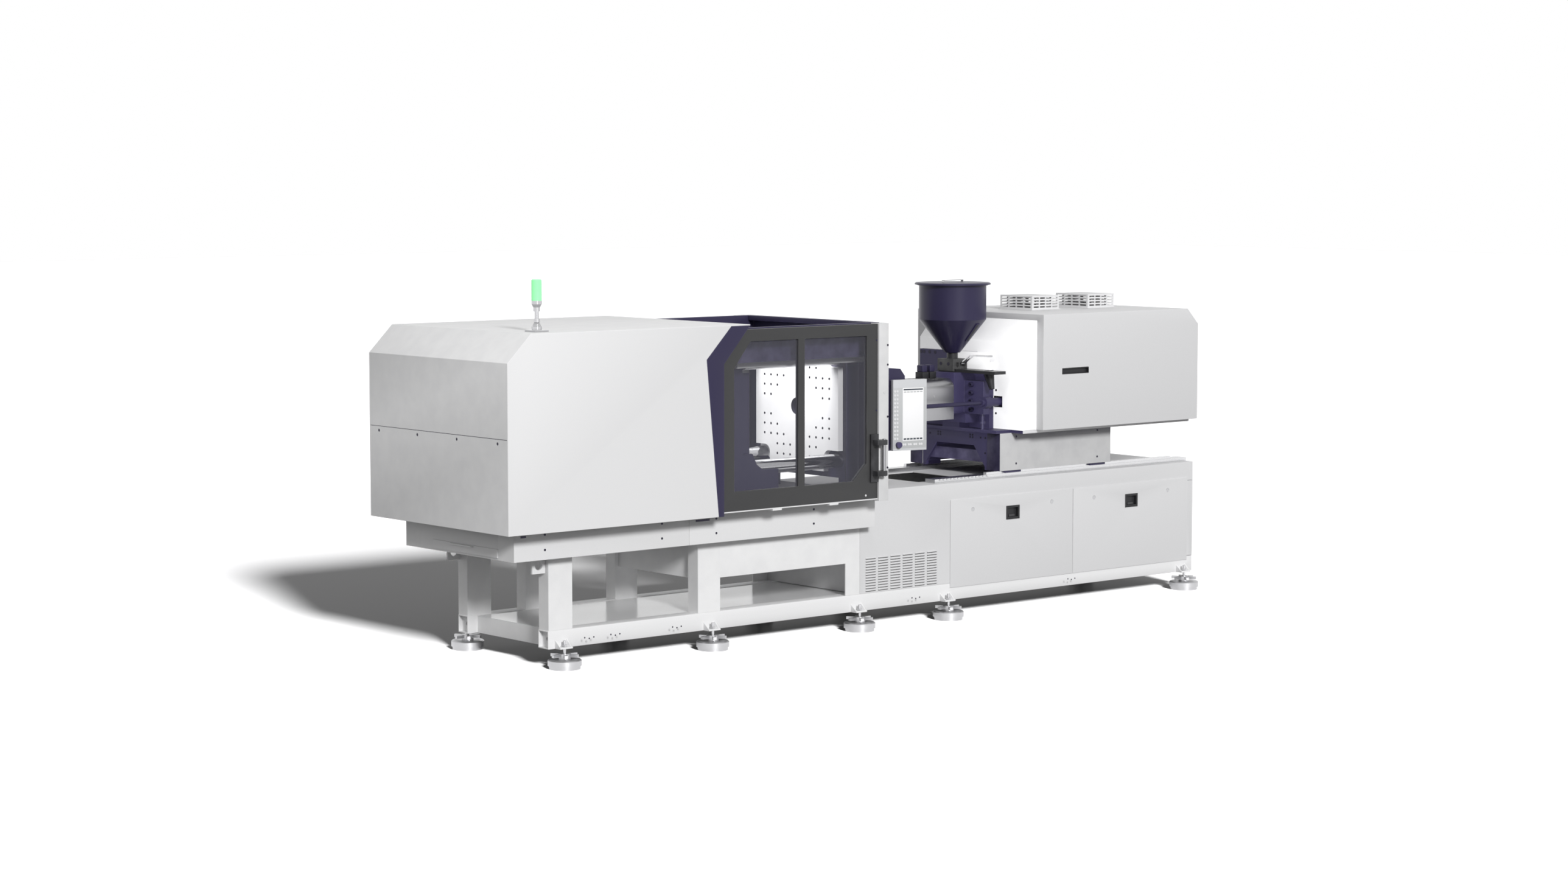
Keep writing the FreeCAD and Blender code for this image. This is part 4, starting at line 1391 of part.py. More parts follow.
def make_control_panel():
    """The housing on the door jamb, the panel on its hinge pin, and the panel's round dial."""
    case = prism("housing", "XZ", (("housing_left", "housing_low"), ("housing_left", "housing_top"),
                                   ("housing_slope_x", "housing_top - 12"),
                                   ("housing_right", "housing_slope_z"), ("housing_right", "housing_low")),
                 "housing_front", "housing_back")
    pivot = ("panel_pivot_x", "housing_front - pivot_in")
    low = "panel_base + knuckle_low"
    pieces = [case]
    for i in range(2):
        start = f"{low} + {i} * knuckle_step"
        for edge in (f"{start} - knuckle_lug - seat_gap", f"{start} + knuckle_long + seat_gap"):
            pieces.append(round_bar("hinge_lug", "z", (*pivot, edge), "knuckle_lug", "knuckle_radius"))
            pieces.append(box("hinge_web", (f"{pivot[0]} - 4", f"{pivot[0]} + 4"),
                              (pivot[1], "housing_front + 1"), (edge, f"{edge} + knuckle_lug")))
        pieces.append(round_bar("hinge_pin", "z", (*pivot, f"{start} - 4"), "knuckle_long + 8",
                                "knuckle_pin"))
    keep("panel_housing", fuse("housing_block", *pieces))

    slab = box("panel_slab", ("panel_edge", "panel_edge + panel_wide"),
               ("-knuckle_radius - panel_deep", "-knuckle_radius - 1"), (0, "panel_high"))
    knuckles = []
    bores = []
    reliefs = []
    for i in range(2):
        start = f"knuckle_low + {i} * knuckle_step"
        knuckles.append(round_bar("knuckle", "z", (0, 0, start), "knuckle_long", "knuckle_radius"))
        knuckles.append(box("knuckle_web", (-4, 4), ("-knuckle_radius - 2", 0),
                            (start, f"{start} + knuckle_long")))
        bores.append(round_bar("knuckle_bore", "z", (0, 0, f"{start} - 1"), "knuckle_long + 2",
                               "knuckle_pin + run_fit"))
        for edge in (f"{start} - knuckle_lug - 2", f"{start} + knuckle_long"):
            reliefs.append(round_bar("lug_relief", "z", (0, 0, edge), "knuckle_lug + 2",
                                     "knuckle_radius + 1"))
    shaft = round_bar("dial_bore", "y", ("panel_edge + dial_side", "-knuckle_radius - panel_deep - 1",
                                         "dial_up"), 15, "dial_shaft + run_fit")
    body = cut("panel_body", fuse("panel_block", slab, *knuckles), *reliefs)
    body = cut("panel_bored", body, *bores, shaft)
    dial = fuse("dial_block",
                round_bar("dial", "y", ("panel_edge + dial_side", "-knuckle_radius - panel_deep - dial_high",
                                        "dial_up"), "dial_high - dial_gap", "dial_radius"),
                round_bar("dial_stem", "y", ("panel_edge + dial_side", "-knuckle_radius - panel_deep - 2",
                                             "dial_up"), 14, "dial_shaft"))
    for part in (body, dial):
        part.Placement = FreeCAD.Placement(V(0, 0, 0), FreeCAD.Rotation(V(0, 0, -1), 10))
        part.setExpression("Placement.Rotation.Angle", bound("panel_turn * 1 deg"))
        for axis, where in zip("xyz", (*pivot, "panel_base")):
            part.setExpression(f"Placement.Base.{axis}", bound(where))
    keep("control_panel", body)
    keep("panel_dial", dial)


for make in (make_base_rails, make_floor_tray, make_levelling_feet, make_clamp_frame, make_bed_skirts,
             make_drip_tray, make_side_panels, make_bed_cabinet, make_cabinet_panels, make_bed_rails,
             make_clamp_cover, make_cover_strips, make_guard_frame, make_door_jambs, make_doors,
             make_fixed_platen, make_rear_platen, make_clamp_bars, make_moving_platen, make_platen_ways,
             make_ejector, make_toggle, make_crosshead, make_clamp_drive, make_carriage, make_carriage_boxes,
             make_injection_frame, make_injection_drive, make_barrel, make_heater_shield, make_throat_housing,
             make_traverse_rods, make_slide_bar, make_hopper, make_hopper_lever, make_injection_cover,
             make_injection_hood, make_roof_vents, make_fans, make_lamp, make_control_panel):
    make()

doc.recompute()

faults = [item.Name + ": " + ", ".join(item.State) for item in doc.Objects
          if "Invalid" in item.State or "Error" in item.State]
faults += [part.Label + " has no valid shape" for part in KEPT if part.Shape.isNull()
           or not part.Shape.isValid()]
if faults:
    raise RuntimeError("; ".join(faults))

os.makedirs("parts", exist_ok=True)
for part in KEPT:
    part.Shape.exportStep(os.path.join("parts", part.Label + ".step"))
print(len(KEPT), "sub-parts,", sum(len(part.Shape.Solids) for part in KEPT), "solids")
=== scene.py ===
import json
import math

import bmesh
import bpy
from mathutils import Matrix, Vector

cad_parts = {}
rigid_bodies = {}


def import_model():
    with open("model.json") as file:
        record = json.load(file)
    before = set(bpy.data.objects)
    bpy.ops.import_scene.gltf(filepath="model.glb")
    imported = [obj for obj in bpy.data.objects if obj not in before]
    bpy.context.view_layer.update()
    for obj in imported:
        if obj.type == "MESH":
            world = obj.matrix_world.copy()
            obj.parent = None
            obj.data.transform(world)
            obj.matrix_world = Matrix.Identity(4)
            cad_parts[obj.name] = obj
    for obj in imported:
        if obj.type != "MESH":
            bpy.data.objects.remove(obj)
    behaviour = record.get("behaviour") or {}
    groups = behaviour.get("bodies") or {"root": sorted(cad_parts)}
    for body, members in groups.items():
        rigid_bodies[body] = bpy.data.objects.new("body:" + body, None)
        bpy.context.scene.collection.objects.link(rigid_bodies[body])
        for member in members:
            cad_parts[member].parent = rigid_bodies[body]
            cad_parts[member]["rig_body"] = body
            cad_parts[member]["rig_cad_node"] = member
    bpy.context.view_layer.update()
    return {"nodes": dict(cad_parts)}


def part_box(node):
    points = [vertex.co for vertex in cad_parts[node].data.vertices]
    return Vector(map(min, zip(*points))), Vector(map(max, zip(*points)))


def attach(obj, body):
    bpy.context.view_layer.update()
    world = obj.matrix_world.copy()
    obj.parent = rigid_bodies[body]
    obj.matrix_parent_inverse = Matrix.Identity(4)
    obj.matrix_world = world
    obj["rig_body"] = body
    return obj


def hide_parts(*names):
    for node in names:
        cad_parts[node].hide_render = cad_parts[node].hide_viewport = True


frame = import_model()
NODES = frame["nodes"]


# ---------------------------------------------------------------- camera, floor and light
# A pale studio: a paper floor that runs into white air, brighter from above than from below. A soft low key
# light comes from the left front, and a far stronger one along the same way falls on the grey paper alone, so
# that it is white with a deep shadow. The camera is at the left front too, a little over head height.

scene = bpy.context.scene
scene.view_settings.view_transform = "Standard"
scene.view_settings.look = "None"

view = bpy.data.cameras.new("camera")
view.lens = 71.9
view.sensor_width = 36.0
view.clip_end = 200.0
camera = bpy.data.objects.new("camera", view)
camera.location = (-14.713, -16.776, 3.257)
camera.rotation_euler = (math.radians(84.964), 0.0, math.radians(-40.5))
scene.collection.objects.link(camera)
scene.camera = camera


def noise(tree, vector, scale, detail):
    """A noise texture over a vector."""
    texture = tree.nodes.new("ShaderNodeTexNoise")
    texture.inputs["Detail"].default_value = detail
    if isinstance(scale, float):
        texture.inputs["Scale"].default_value = scale
    else:
        tree.links.new(scale, texture.inputs["Scale"])
    tree.links.new(vector, texture.inputs["Vector"])
    return texture.outputs["Fac"]


def spread(tree, value, low, high, start=0.0, end=1.0):
    """A value brought from one range to another, both ends held."""
    ramp = tree.nodes.new("ShaderNodeMapRange")
    ramp.clamp = True
    tree.links.new(value, ramp.inputs["Value"])
    for socket, number in (("From Min", low), ("From Max", high), ("To Min", start), ("To Max", end)):
        if isinstance(number, (int, float)):
            ramp.inputs[socket].default_value = number
        else:
            tree.links.new(number, ramp.inputs[socket])
    return ramp.outputs["Result"]


def calc(tree, operation, one, two):
    """A math node over two values, each a number or a socket."""
    node = tree.nodes.new("ShaderNodeMath")
    node.operation = operation
    for slot, value in enumerate((one, two)):
        if isinstance(value, (int, float)):
            node.inputs[slot].default_value = value
        else:
            tree.links.new(value, node.inputs[slot])
    return node.outputs[0]


def blend_colour(tree, factor, one, two):
    """A colour mix; each colour is a socket or four numbers."""
    node = tree.nodes.new("ShaderNodeMix")
    node.data_type = "RGBA"
    tree.links.new(factor, node.inputs[0])
    for slot, value in ((6, one), (7, two)):
        if isinstance(value, tuple):
            node.inputs[slot].default_value = value
        else:
            tree.links.new(value, node.inputs[slot])
    return node.outputs[2]


# The air looks white to the camera and in mirrors. Its light on everything else grows from AIR_BELOW to
# AIR_ABOVE across the horizon.
WHITE = (1.0, 1.0, 1.0, 1.0)
AIR_HAZE, AIR_BELOW, AIR_ABOVE = 0.15, 0.13, 0.56
world = bpy.data.worlds.new("studio_air")
world.use_nodes = True
air = world.node_tree
air_place = air.nodes.new("ShaderNodeTexCoord")
air_split = air.nodes.new("ShaderNodeSeparateXYZ")
air.links.new(air_place.outputs["Generated"], air_split.inputs[0])
air_soft = air.nodes["Background"]
air_soft.inputs["Color"].default_value = WHITE
air_strength = spread(air, air_split.outputs["Z"], -AIR_HAZE, AIR_HAZE, AIR_BELOW, AIR_ABOVE)
air.links.new(air_strength, air_soft.inputs["Strength"])
air_white = air.nodes.new("ShaderNodeBackground")
air_white.inputs["Color"].default_value = WHITE
air_path = air.nodes.new("ShaderNodeLightPath")
air_seen = calc(air, "MAXIMUM", air_path.outputs["Is Camera Ray"], air_path.outputs["Is Glossy Ray"])
air_mix = air.nodes.new("ShaderNodeMixShader")
air.links.new(air_seen, air_mix.inputs["Fac"])
air.links.new(air_soft.outputs[0], air_mix.inputs[1])
air.links.new(air_white.outputs[0], air_mix.inputs[2])
air.links.new(air_mix.outputs[0], air.nodes["World Output"].inputs["Surface"])
scene.world = world

LIGHT_WAY = Vector((0.289, 0.862, -0.416))


def lamp(name, kind, energy, size, place=(0.0, 0.0, 0.0), way=LIGHT_WAY, onto=()):
    """A sun, whose size is an angle, or an area lamp. One that lights some objects only is given them."""
    light = bpy.data.lights.new(name, kind)
    light.energy = energy
    if kind == "SUN":
        light.angle = size
    else:
        light.size = size
    holder = bpy.data.objects.new(name, light)
    holder.location = place
    holder.rotation_euler = way.to_track_quat("-Z", "Y").to_euler()
    scene.collection.objects.link(holder)
    if onto:
        lit = bpy.data.collections.new(name + "_onto")
        for thing in onto:
            lit.objects.link(thing)
        holder.light_linking.receiver_collection = lit
    return holder


lamp("key_light", "SUN", energy=2.7, size=math.radians(11.0))

FLOOR_WIDE = 160.0
bpy.ops.object.select_all(action="DESELECT")
bpy.ops.mesh.primitive_plane_add(size=1.0, location=(0.0, 0.0, 0.0))
floor = bpy.context.object
floor.name = "studio_floor"
floor.visible_diffuse = False
bpy.ops.transform.resize(value=(FLOOR_WIDE, FLOOR_WIDE, 1.0))
bpy.ops.object.transform_apply(location=True, rotation=True, scale=True)
lamp("floor_light", "SUN", energy=62.0, size=math.radians(9.0), onto=[floor])

PAPER_DARK, PAPER_LIGHT = (0.145, 0.145, 0.147, 1.0), (0.155, 0.155, 0.155, 1.0)
paper = bpy.data.materials.new("floor_paper")
paper.use_nodes = True
paper_tree = paper.node_tree
paper_shader = paper_tree.nodes["Principled BSDF"]
paper_shader.inputs["Specular IOR Level"].default_value = 0.002
paper_place = paper_tree.nodes.new("ShaderNodeTexCoord")
paper_cloud = noise(paper_tree, paper_place.outputs["Object"], 0.35, 2.0)
paper_gloss = spread(paper_tree, paper_cloud, 0.0, 1.0, 0.16, 0.24)
paper_tree.links.new(paper_gloss, paper_shader.inputs["Roughness"])
paper_colour = blend_colour(paper_tree, paper_cloud, PAPER_DARK, PAPER_LIGHT)
paper_tree.links.new(paper_colour, paper_shader.inputs["Base Color"])
floor.data.materials.append(paper)


# ---------------------------------------------------------------- base frame
# Two long box-section rails with cross members and a thin floor sheet. Welded steel, powder-coated white,
# with slightly rolled edges and small threaded holes in threes along both rails.

def new_group(name, sockets_in, sockets_out):
    """An empty shader node group with named inputs and outputs."""
    tree = bpy.data.node_groups.new(name, "ShaderNodeTree")
    for label, kind, value in sockets_in:
        socket = tree.interface.new_socket(name=label, in_out="INPUT", socket_type="NodeSocket" + kind)
        if value is not None:
            socket.default_value = value
    for label, kind in sockets_out:
        tree.interface.new_socket(name=label, in_out="OUTPUT", socket_type="NodeSocket" + kind)
    return tree, tree.nodes.new("NodeGroupInput"), tree.nodes.new("NodeGroupOutput")


# The sprayed and baked coat: a fine orange-peel grain, faint patches of tone and gloss, dust on level faces
# and rubbed edges. The rolled edges of a piece carry the edge mark, an attribute that the coat reads.
EDGE_MARK = "rolled_edge"
BLACK, PATCH, DUST = (0.0, 0.0, 0.0, 1.0), (0.5, 0.5, 0.52, 1.0), (0.66, 0.65, 0.62, 1.0)
COAT, coat_in, coat_out = new_group(
    "coat_grain",
    [("Place", "Vector", None), ("Colour", "Color", (0.8, 0.8, 0.8, 1.0)),
     ("Worn Colour", "Color", (0.9, 0.9, 0.9, 1.0)), ("Grain Scale", "Float", 260.0),
     ("Gloss Low", "Float", 0.3), ("Gloss High", "Float", 0.45), ("Dust", "Float", 0.1),
     ("Speckle", "Float", 0.06)],
    [("Colour", "Color"), ("Roughness", "Float"), ("Grain", "Float")])
coat_patches = noise(COAT, coat_in.outputs["Place"], 1.7, 4.0)
coat_grain = noise(COAT, coat_in.outputs["Place"], coat_in.outputs["Grain Scale"], 2.0)
coat_face = COAT.nodes.new("ShaderNodeNewGeometry")
coat_split = COAT.nodes.new("ShaderNodeSeparateXYZ")
COAT.links.new(coat_face.outputs["Normal"], coat_split.inputs[0])
coat_level = spread(COAT, coat_split.outputs["Z"], 0.75, 1.0)
coat_dust = calc(COAT, "MULTIPLY", calc(COAT, "MULTIPLY", coat_level, coat_in.outputs["Dust"]), coat_patches)
coat_edge = COAT.nodes.new("ShaderNodeAttribute")
coat_edge.attribute_name = EDGE_MARK
coat_blotch = spread(COAT, noise(COAT, coat_in.outputs["Place"], 9.0, 5.0), 0.35, 0.65)
coat_rub = calc(COAT, "MULTIPLY", coat_edge.outputs["Fac"], coat_blotch)
coat_specks = calc(COAT, "MULTIPLY", spread(COAT, coat_grain, 0.3, 0.7), coat_in.outputs["Speckle"])
coat_dark = blend_colour(COAT, coat_specks, coat_in.outputs["Colour"], BLACK)
coat_tone = blend_colour(COAT, spread(COAT, coat_patches, 0.3, 0.75, 0.0, 0.01), coat_dark, PATCH)
coat_dusty = blend_colour(COAT, coat_dust, coat_tone, DUST)
coat_worn = blend_colour(COAT, calc(COAT, "MULTIPLY", coat_rub, 0.55), coat_dusty,
                         coat_in.outputs["Worn Colour"])
coat_gloss = spread(COAT, coat_patches, 0.25, 0.75, coat_in.outputs["Gloss Low"],
                    coat_in.outputs["Gloss High"])
coat_dull = calc(COAT, "ADD", coat_gloss, calc(COAT, "MULTIPLY", coat_dust, 0.4))
COAT.links.new(coat_worn, coat_out.inputs["Colour"])
COAT.links.new(coat_dull, coat_out.inputs["Roughness"])
COAT.links.new(coat_grain, coat_out.inputs["Grain"])


def surface(name, group, look, metallic, strength, depth, along=(1.0, 1.0, 1.0)):
    """A material out of a grain group: look gives the group's inputs, and along stretches its grain."""
    finish = bpy.data.materials.new(name)
    finish.use_nodes = True
    tree = finish.node_tree
    shader = tree.nodes["Principled BSDF"]
    shader.inputs["Metallic"].default_value = metallic
    place = tree.nodes.new("ShaderNodeTexCoord")
    stretch = tree.nodes.new("ShaderNodeMapping")
    stretch.inputs["Scale"].default_value = along
    grain = tree.nodes.new("ShaderNodeGroup")
    grain.node_tree = group
    for label, value in look.items():
        grain.inputs[label].default_value = value
    bump = tree.nodes.new("ShaderNodeBump")
    bump.inputs["Strength"].default_value = strength
    bump.inputs["Distance"].default_value = depth
    tree.links.new(place.outputs["Object"], stretch.inputs["Vector"])
    tree.links.new(stretch.outputs["Vector"], grain.inputs["Place"])
    tree.links.new(grain.outputs["Colour"], shader.inputs["Base Color"])
    tree.links.new(grain.outputs["Roughness"], shader.inputs["Roughness"])
    tree.links.new(grain.outputs["Grain"], bump.inputs["Height"])
    tree.links.new(bump.outputs["Normal"], shader.inputs["Normal"])
    return finish


def coated(name, colour, worn, gloss, grain=260.0, depth=0.00025, dust=0.1, speckle=0.06, metallic=0.0):
    """A sprayed, moulded or cast surface out of the coat grain group."""
    look = {"Colour": (*colour, 1.0), "Worn Colour": (*worn, 1.0), "Grain Scale": grain,
            "Gloss Low": gloss[0], "Gloss High": gloss[1], "Dust": dust, "Speckle": speckle}
    finish = surface(name, COAT, look, metallic, strength=0.5, depth=depth)
    finish.node_tree.nodes["Principled BSDF"].inputs["Specular IOR Level"].default_value = 0.25
    return finish


white_coat = coated("white_powder_coat", colour=(0.75, 0.75, 0.755), worn=(0.8, 0.8, 0.8), gloss=(0.5, 0.51),
                    depth=0.00006, dust=0.02, speckle=0.035)
SMOOTH_ANGLE, SHARP_ANGLE = math.radians(30.0), math.radians(35.0)


def pick(piece):
    """Leaves one piece selected and active."""
    bpy.ops.object.select_all(action="DESELECT")
    piece.hide_set(False)
    piece.select_set(True)
    bpy.context.view_layer.objects.active = piece


def settle(piece, body, finish):
    """Puts a finished piece's place into its mesh, gives it its finish and fixes it to its body."""
    pick(piece)
    bpy.ops.object.transform_apply(location=True, rotation=True, scale=True)
    piece.data.materials.clear()
    piece.data.materials.append(finish)
    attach(piece, body)


def rolled(node, body, name, finish, roll, shortest=0.06):
    """A sheet or casting with rolled edges: a copy of the frame's solid, its long sharp edges bevelled."""
    piece = NODES[node].copy()
    piece.data = NODES[node].data.copy()
    piece.name = name
    piece.parent = None
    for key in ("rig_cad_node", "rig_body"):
        if key in piece:
            del piece[key]
    scene.collection.objects.link(piece)
    pick(piece)
    bpy.ops.object.mode_set(mode="EDIT")
    bpy.ops.mesh.select_all(action="SELECT")
    bpy.ops.mesh.remove_doubles(threshold=0.00005)
    bpy.ops.mesh.customdata_custom_splitnormals_clear()
    bpy.ops.mesh.dissolve_limited(angle_limit=math.radians(1.0))
    bpy.ops.mesh.select_mode(type="EDGE")
    bpy.ops.mesh.select_all(action="DESELECT")
    bpy.ops.mesh.edges_select_sharp(sharpness=SHARP_ANGLE)
    shape = bmesh.from_edit_mesh(piece.data)
    for edge in shape.edges:
        if edge.select and (edge.calc_length() < shortest or not edge.is_manifold):
            edge.select_set(False)
    shape.select_flush_mode()
    bmesh.update_edit_mesh(piece.data)
    bpy.ops.mesh.bevel(offset=roll, segments=2, profile=0.6, affect="EDGES", clamp_overlap=True,
                       loop_slide=False)
    shape = bmesh.from_edit_mesh(piece.data)
    worn = [face.index for face in shape.faces if face.select]
    bpy.ops.object.mode_set(mode="OBJECT")
    mark = piece.data.attributes.new(EDGE_MARK, "FLOAT", "FACE")
    for index in worn:
        mark.data[index].value = 1.0
    bpy.ops.object.shade_smooth_by_angle(angle=SMOOTH_ANGLE)
    settle(piece, body, finish)
    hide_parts(node)
    return piece


def finish_node(finish, *nodes):
    """Gives frame solids a finish."""
    for node in nodes:
        NODES[node].data.materials.clear()
        NODES[node].data.materials.append(finish)


rolled("base_rails", "machine_frame", "base_rail_weldment", white_coat, roll=0.004)

tray_coat = coated("tray_grey_coat", colour=(0.74, 0.745, 0.75), worn=(0.85, 0.85, 0.85), gloss=(0.1, 0.16),
                   grain=120.0, dust=0.2)
finish_node(tray_coat, "floor_tray")


def block(name, low, high, roll, segments=2):
    """A plate or block between two corners, with rolled edges."""
    size = [b - a for a, b in zip(low, high)]
    bpy.ops.object.select_all(action="DESELECT")
    bpy.ops.mesh.primitive_cube_add(size=1.0, location=[(a + b) / 2 for a, b in zip(low, high)])
    piece = bpy.context.object
    piece.name = name
    bpy.ops.transform.resize(value=size)
    bpy.ops.object.transform_apply(location=True, rotation=True, scale=True)
    bpy.ops.object.mode_set(mode="EDIT")
    bpy.ops.mesh.select_all(action="SELECT")
    bpy.ops.mesh.bevel(offset=roll, segments=segments, affect="EDGES", clamp_overlap=True)
    bpy.ops.object.mode_set(mode="OBJECT")
    bpy.ops.object.shade_smooth_by_angle(angle=SMOOTH_ANGLE)
    return piece


# A face looks along an axis when at least this much of its normal does.
SQUARE_ON = 0.9


def disc(name, radius, high, sides=20, roll=0.0006):
    """A round head that stands on the front, its face towards -Y, with a rolled rim."""
    bpy.ops.object.select_all(action="DESELECT")
    forward = (math.radians(90.0), 0.0, 0.0)
    bpy.ops.mesh.primitive_cylinder_add(vertices=sides, radius=radius, depth=high,
                                        location=(0.0, -high / 2, 0.0), rotation=forward)
    piece = bpy.context.object
    piece.name = name
    bpy.ops.object.transform_apply(location=True, rotation=True, scale=True)
    bpy.ops.object.mode_set(mode="EDIT")
    bpy.ops.mesh.select_mode(type="FACE")
    shape = bmesh.from_edit_mesh(piece.data)
    for face in shape.faces:
        face.select_set(face.normal.y < -SQUARE_ON)
    bmesh.update_edit_mesh(piece.data)
    bpy.ops.mesh.bevel(offset=roll, segments=2, affect="EDGES")
    bpy.ops.object.mode_set(mode="OBJECT")
    return piece


def sink(piece, inset, deep):
    """Sinks the front face of a head: an inset rim and a pocket."""
    pick(piece)
    bpy.ops.object.mode_set(mode="EDIT")
    bpy.ops.mesh.select_mode(type="FACE")
    bpy.ops.mesh.select_all(action="DESELECT")
    shape = bmesh.from_edit_mesh(piece.data)
    forward = [face for face in shape.faces if face.normal.y < -SQUARE_ON]
    front = max(forward, key=lambda face: face.calc_area())
    front.select_set(True)
    bmesh.update_edit_mesh(piece.data)
    bpy.ops.mesh.inset(thickness=inset, depth=0.0)
    bpy.ops.mesh.extrude_region_move(TRANSFORM_OT_translate={"value": (0.0, deep, 0.0)})
    bpy.ops.object.mode_set(mode="OBJECT")
    bpy.ops.object.shade_smooth_by_angle(angle=SMOOTH_ANGLE)
    return piece


def copies(master, name, places):
    """The master piece copied to each place, given as (x, y, z, turn about Z in degrees), in one mesh."""
    made = []
    for x, y, z, turn in places:
        twin = master.copy()
        twin.data = master.data.copy()
        twin.matrix_world = Matrix.Translation((x, y, z)) @ Matrix.Rotation(math.radians(turn), 4, "Z")
        scene.collection.objects.link(twin)
        made.append(twin)
    bpy.ops.object.select_all(action="DESELECT")
    for twin in made:
        twin.select_set(True)
    bpy.context.view_layer.objects.active = made[0]
    bpy.ops.object.transform_apply(location=True, rotation=True, scale=True)
    if len(made) > 1:
        bpy.ops.object.join()
    made[0].name = name
    bpy.data.objects.remove(master)
    return made[0]


# Near-black: the real colour of screws and seams; on holes and slots it stands in for the shade in them,
# painted shade.
dark_screw_and_hole_shade = coated("dark_screw_and_hole_shade", colour=(0.035, 0.032, 0.05), worn=(0.2, 0.2, 0.22), gloss=(0.35, 0.5),
                    grain=900.0, dust=0.05, metallic=0.6)

# A head is modelled facing the front. These turns about Z bring it to the side that it belongs on.
ON_FRONT, ON_BACK, ON_LEFT = 0.0, 180.0, -90.0


def both_sides(spots, reach):
    """Places on the front and on the back for each (x, z) spot, reach metres from the middle plane."""
    places = []
    for x, z in spots:
        places.append((x, -reach, z, ON_FRONT))
        places.append((x, reach, z, ON_BACK))
    return places


def heads(name, places, body, finish, radius, high, inset=0.0, deep=0.0, sides=20, roll=0.0006):
    """Screw heads, plugs or hole rims, sunk where an inset is given, all in one piece fixed to a body."""
    head = disc(name + "_head", radius, high, sides, roll)
    if inset:
        sink(head, inset, deep)
    settle(copies(head, name, places), body, finish)


RAIL_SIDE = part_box("base_rails")[1].y
HOLE_Z, HOLE_CENTRES = 0.187, (-2.543, -2.329, -1.813, 0.36, 1.94)
HOLE_TRIPLET = ((-0.037, 0.004), (0.0, -0.004), (0.037, 0.002))
hole_spots = [(centre + step, HOLE_Z + rise) for centre in HOLE_CENTRES for step, rise in HOLE_TRIPLET]
# The threaded holes are sunk discs of the near-black screw finish: their darkness is painted shade.
heads("rail_holes", both_sides(hole_spots, RAIL_SIDE), "machine_frame", dark_screw_and_hole_shade,
      radius=0.0055, high=0.0008, inset=0.0014, deep=0.0016, sides=16, roll=0.0002)


# ---------------------------------------------------------------- levelling feet
# Ten machine feet: a steel pad on a narrower ring, a star hub, a spindle and a gusseted bracket. Zinc-plated
# and turned, so they are bright with a faint grain.

BRUSH, brush_in, brush_out = new_group(
    "brushed_grain",
    [("Place", "Vector", None), ("Colour", "Color", (0.6, 0.6, 0.6, 1.0)),
     ("Stain", "Color", (0.4, 0.4, 0.42, 1.0)), ("Gloss Low", "Float", 0.15), ("Gloss High", "Float", 0.3),
     ("Stain Amount", "Float", 0.25)],
    [("Colour", "Color"), ("Roughness", "Float"), ("Grain", "Float")])
brush_line = noise(BRUSH, brush_in.outputs["Place"], 1.0, 3.0)
brush_cloud = noise(BRUSH, brush_in.outputs["Place"], 0.035, 4.0)
brush_mask = calc(BRUSH, "MULTIPLY", spread(BRUSH, brush_cloud, 0.4, 0.7), brush_in.outputs["Stain Amount"])
brush_edge = BRUSH.nodes.new("ShaderNodeAttribute")
brush_edge.attribute_name = EDGE_MARK
brush_stained = calc(BRUSH, "MAXIMUM", brush_mask, calc(BRUSH, "MULTIPLY", brush_line, 0.18))
brush_colour = blend_colour(BRUSH, brush_stained, brush_in.outputs["Colour"], brush_in.outputs["Stain"])
brush_gloss = spread(BRUSH, brush_line, 0.3, 0.7, brush_in.outputs["Gloss Low"],
                     brush_in.outputs["Gloss High"])
brush_dulled = calc(BRUSH, "ADD", brush_gloss, calc(BRUSH, "MULTIPLY", brush_mask, 0.2))
brush_rubbed = calc(BRUSH, "MULTIPLY", brush_edge.outputs["Fac"], 0.05)
BRUSH.links.new(brush_colour, brush_out.inputs["Colour"])
BRUSH.links.new(calc(BRUSH, "SUBTRACT", brush_dulled, brush_rubbed), brush_out.inputs["Roughness"])
BRUSH.links.new(brush_line, brush_out.inputs["Grain"])


def brushed(name, colour, stain, gloss, along, stains=0.25, depth=0.00006, metallic=1.0):
    """Bare metal; along is the grain's cells per metre on each axis, few along it and many across it."""
    look = {"Colour": (*colour, 1.0), "Stain": (*stain, 1.0), "Gloss Low": gloss[0], "Gloss High": gloss[1],
            "Stain Amount": stains}
    return surface(name, BRUSH, look, metallic, strength=0.4, depth=depth, along=along)


foot_zinc = brushed("foot_zinc", colour=(0.5, 0.5, 0.51), stain=(0.38, 0.38, 0.39), gloss=(0.3, 0.42),
                    along=(260.0, 260.0, 700.0))
finish_node(foot_zinc, "levelling_feet")


# ---------------------------------------------------------------- clamp bed
# Two box beams on posts with bridges, lifting eyes and arms for the cover, closed by folded skirts. White
# coat, with screws through both skirts and two slots in the front one. A drip drawer slides in at the end.

rolled("clamp_frame", "machine_frame", "clamp_bed_weldment", white_coat, roll=0.004)
rolled("bed_skirts", "machine_frame", "beam_skirts", white_coat, roll=0.002)
rolled("side_panels", "machine_frame", "chute_sheets", white_coat, roll=0.002)
rolled("drip_tray", "drip_drawer", "drip_drawer_sheet", white_coat, roll=0.0012, shortest=0.04)

SKIRT_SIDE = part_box("bed_skirts")[1].y
SKIRT_SCREW_X, SKIRT_SCREW_Z = (-2.926, -1.97, -1.506, -0.64), (0.798, 0.897)
skirt_spots = [(x, z) for x in SKIRT_SCREW_X for z in SKIRT_SCREW_Z]
heads("skirt_screws", both_sides(skirt_spots, SKIRT_SIDE), "machine_frame", dark_screw_and_hole_shade,
      radius=0.008, high=0.0022, inset=0.0025, deep=0.0014)

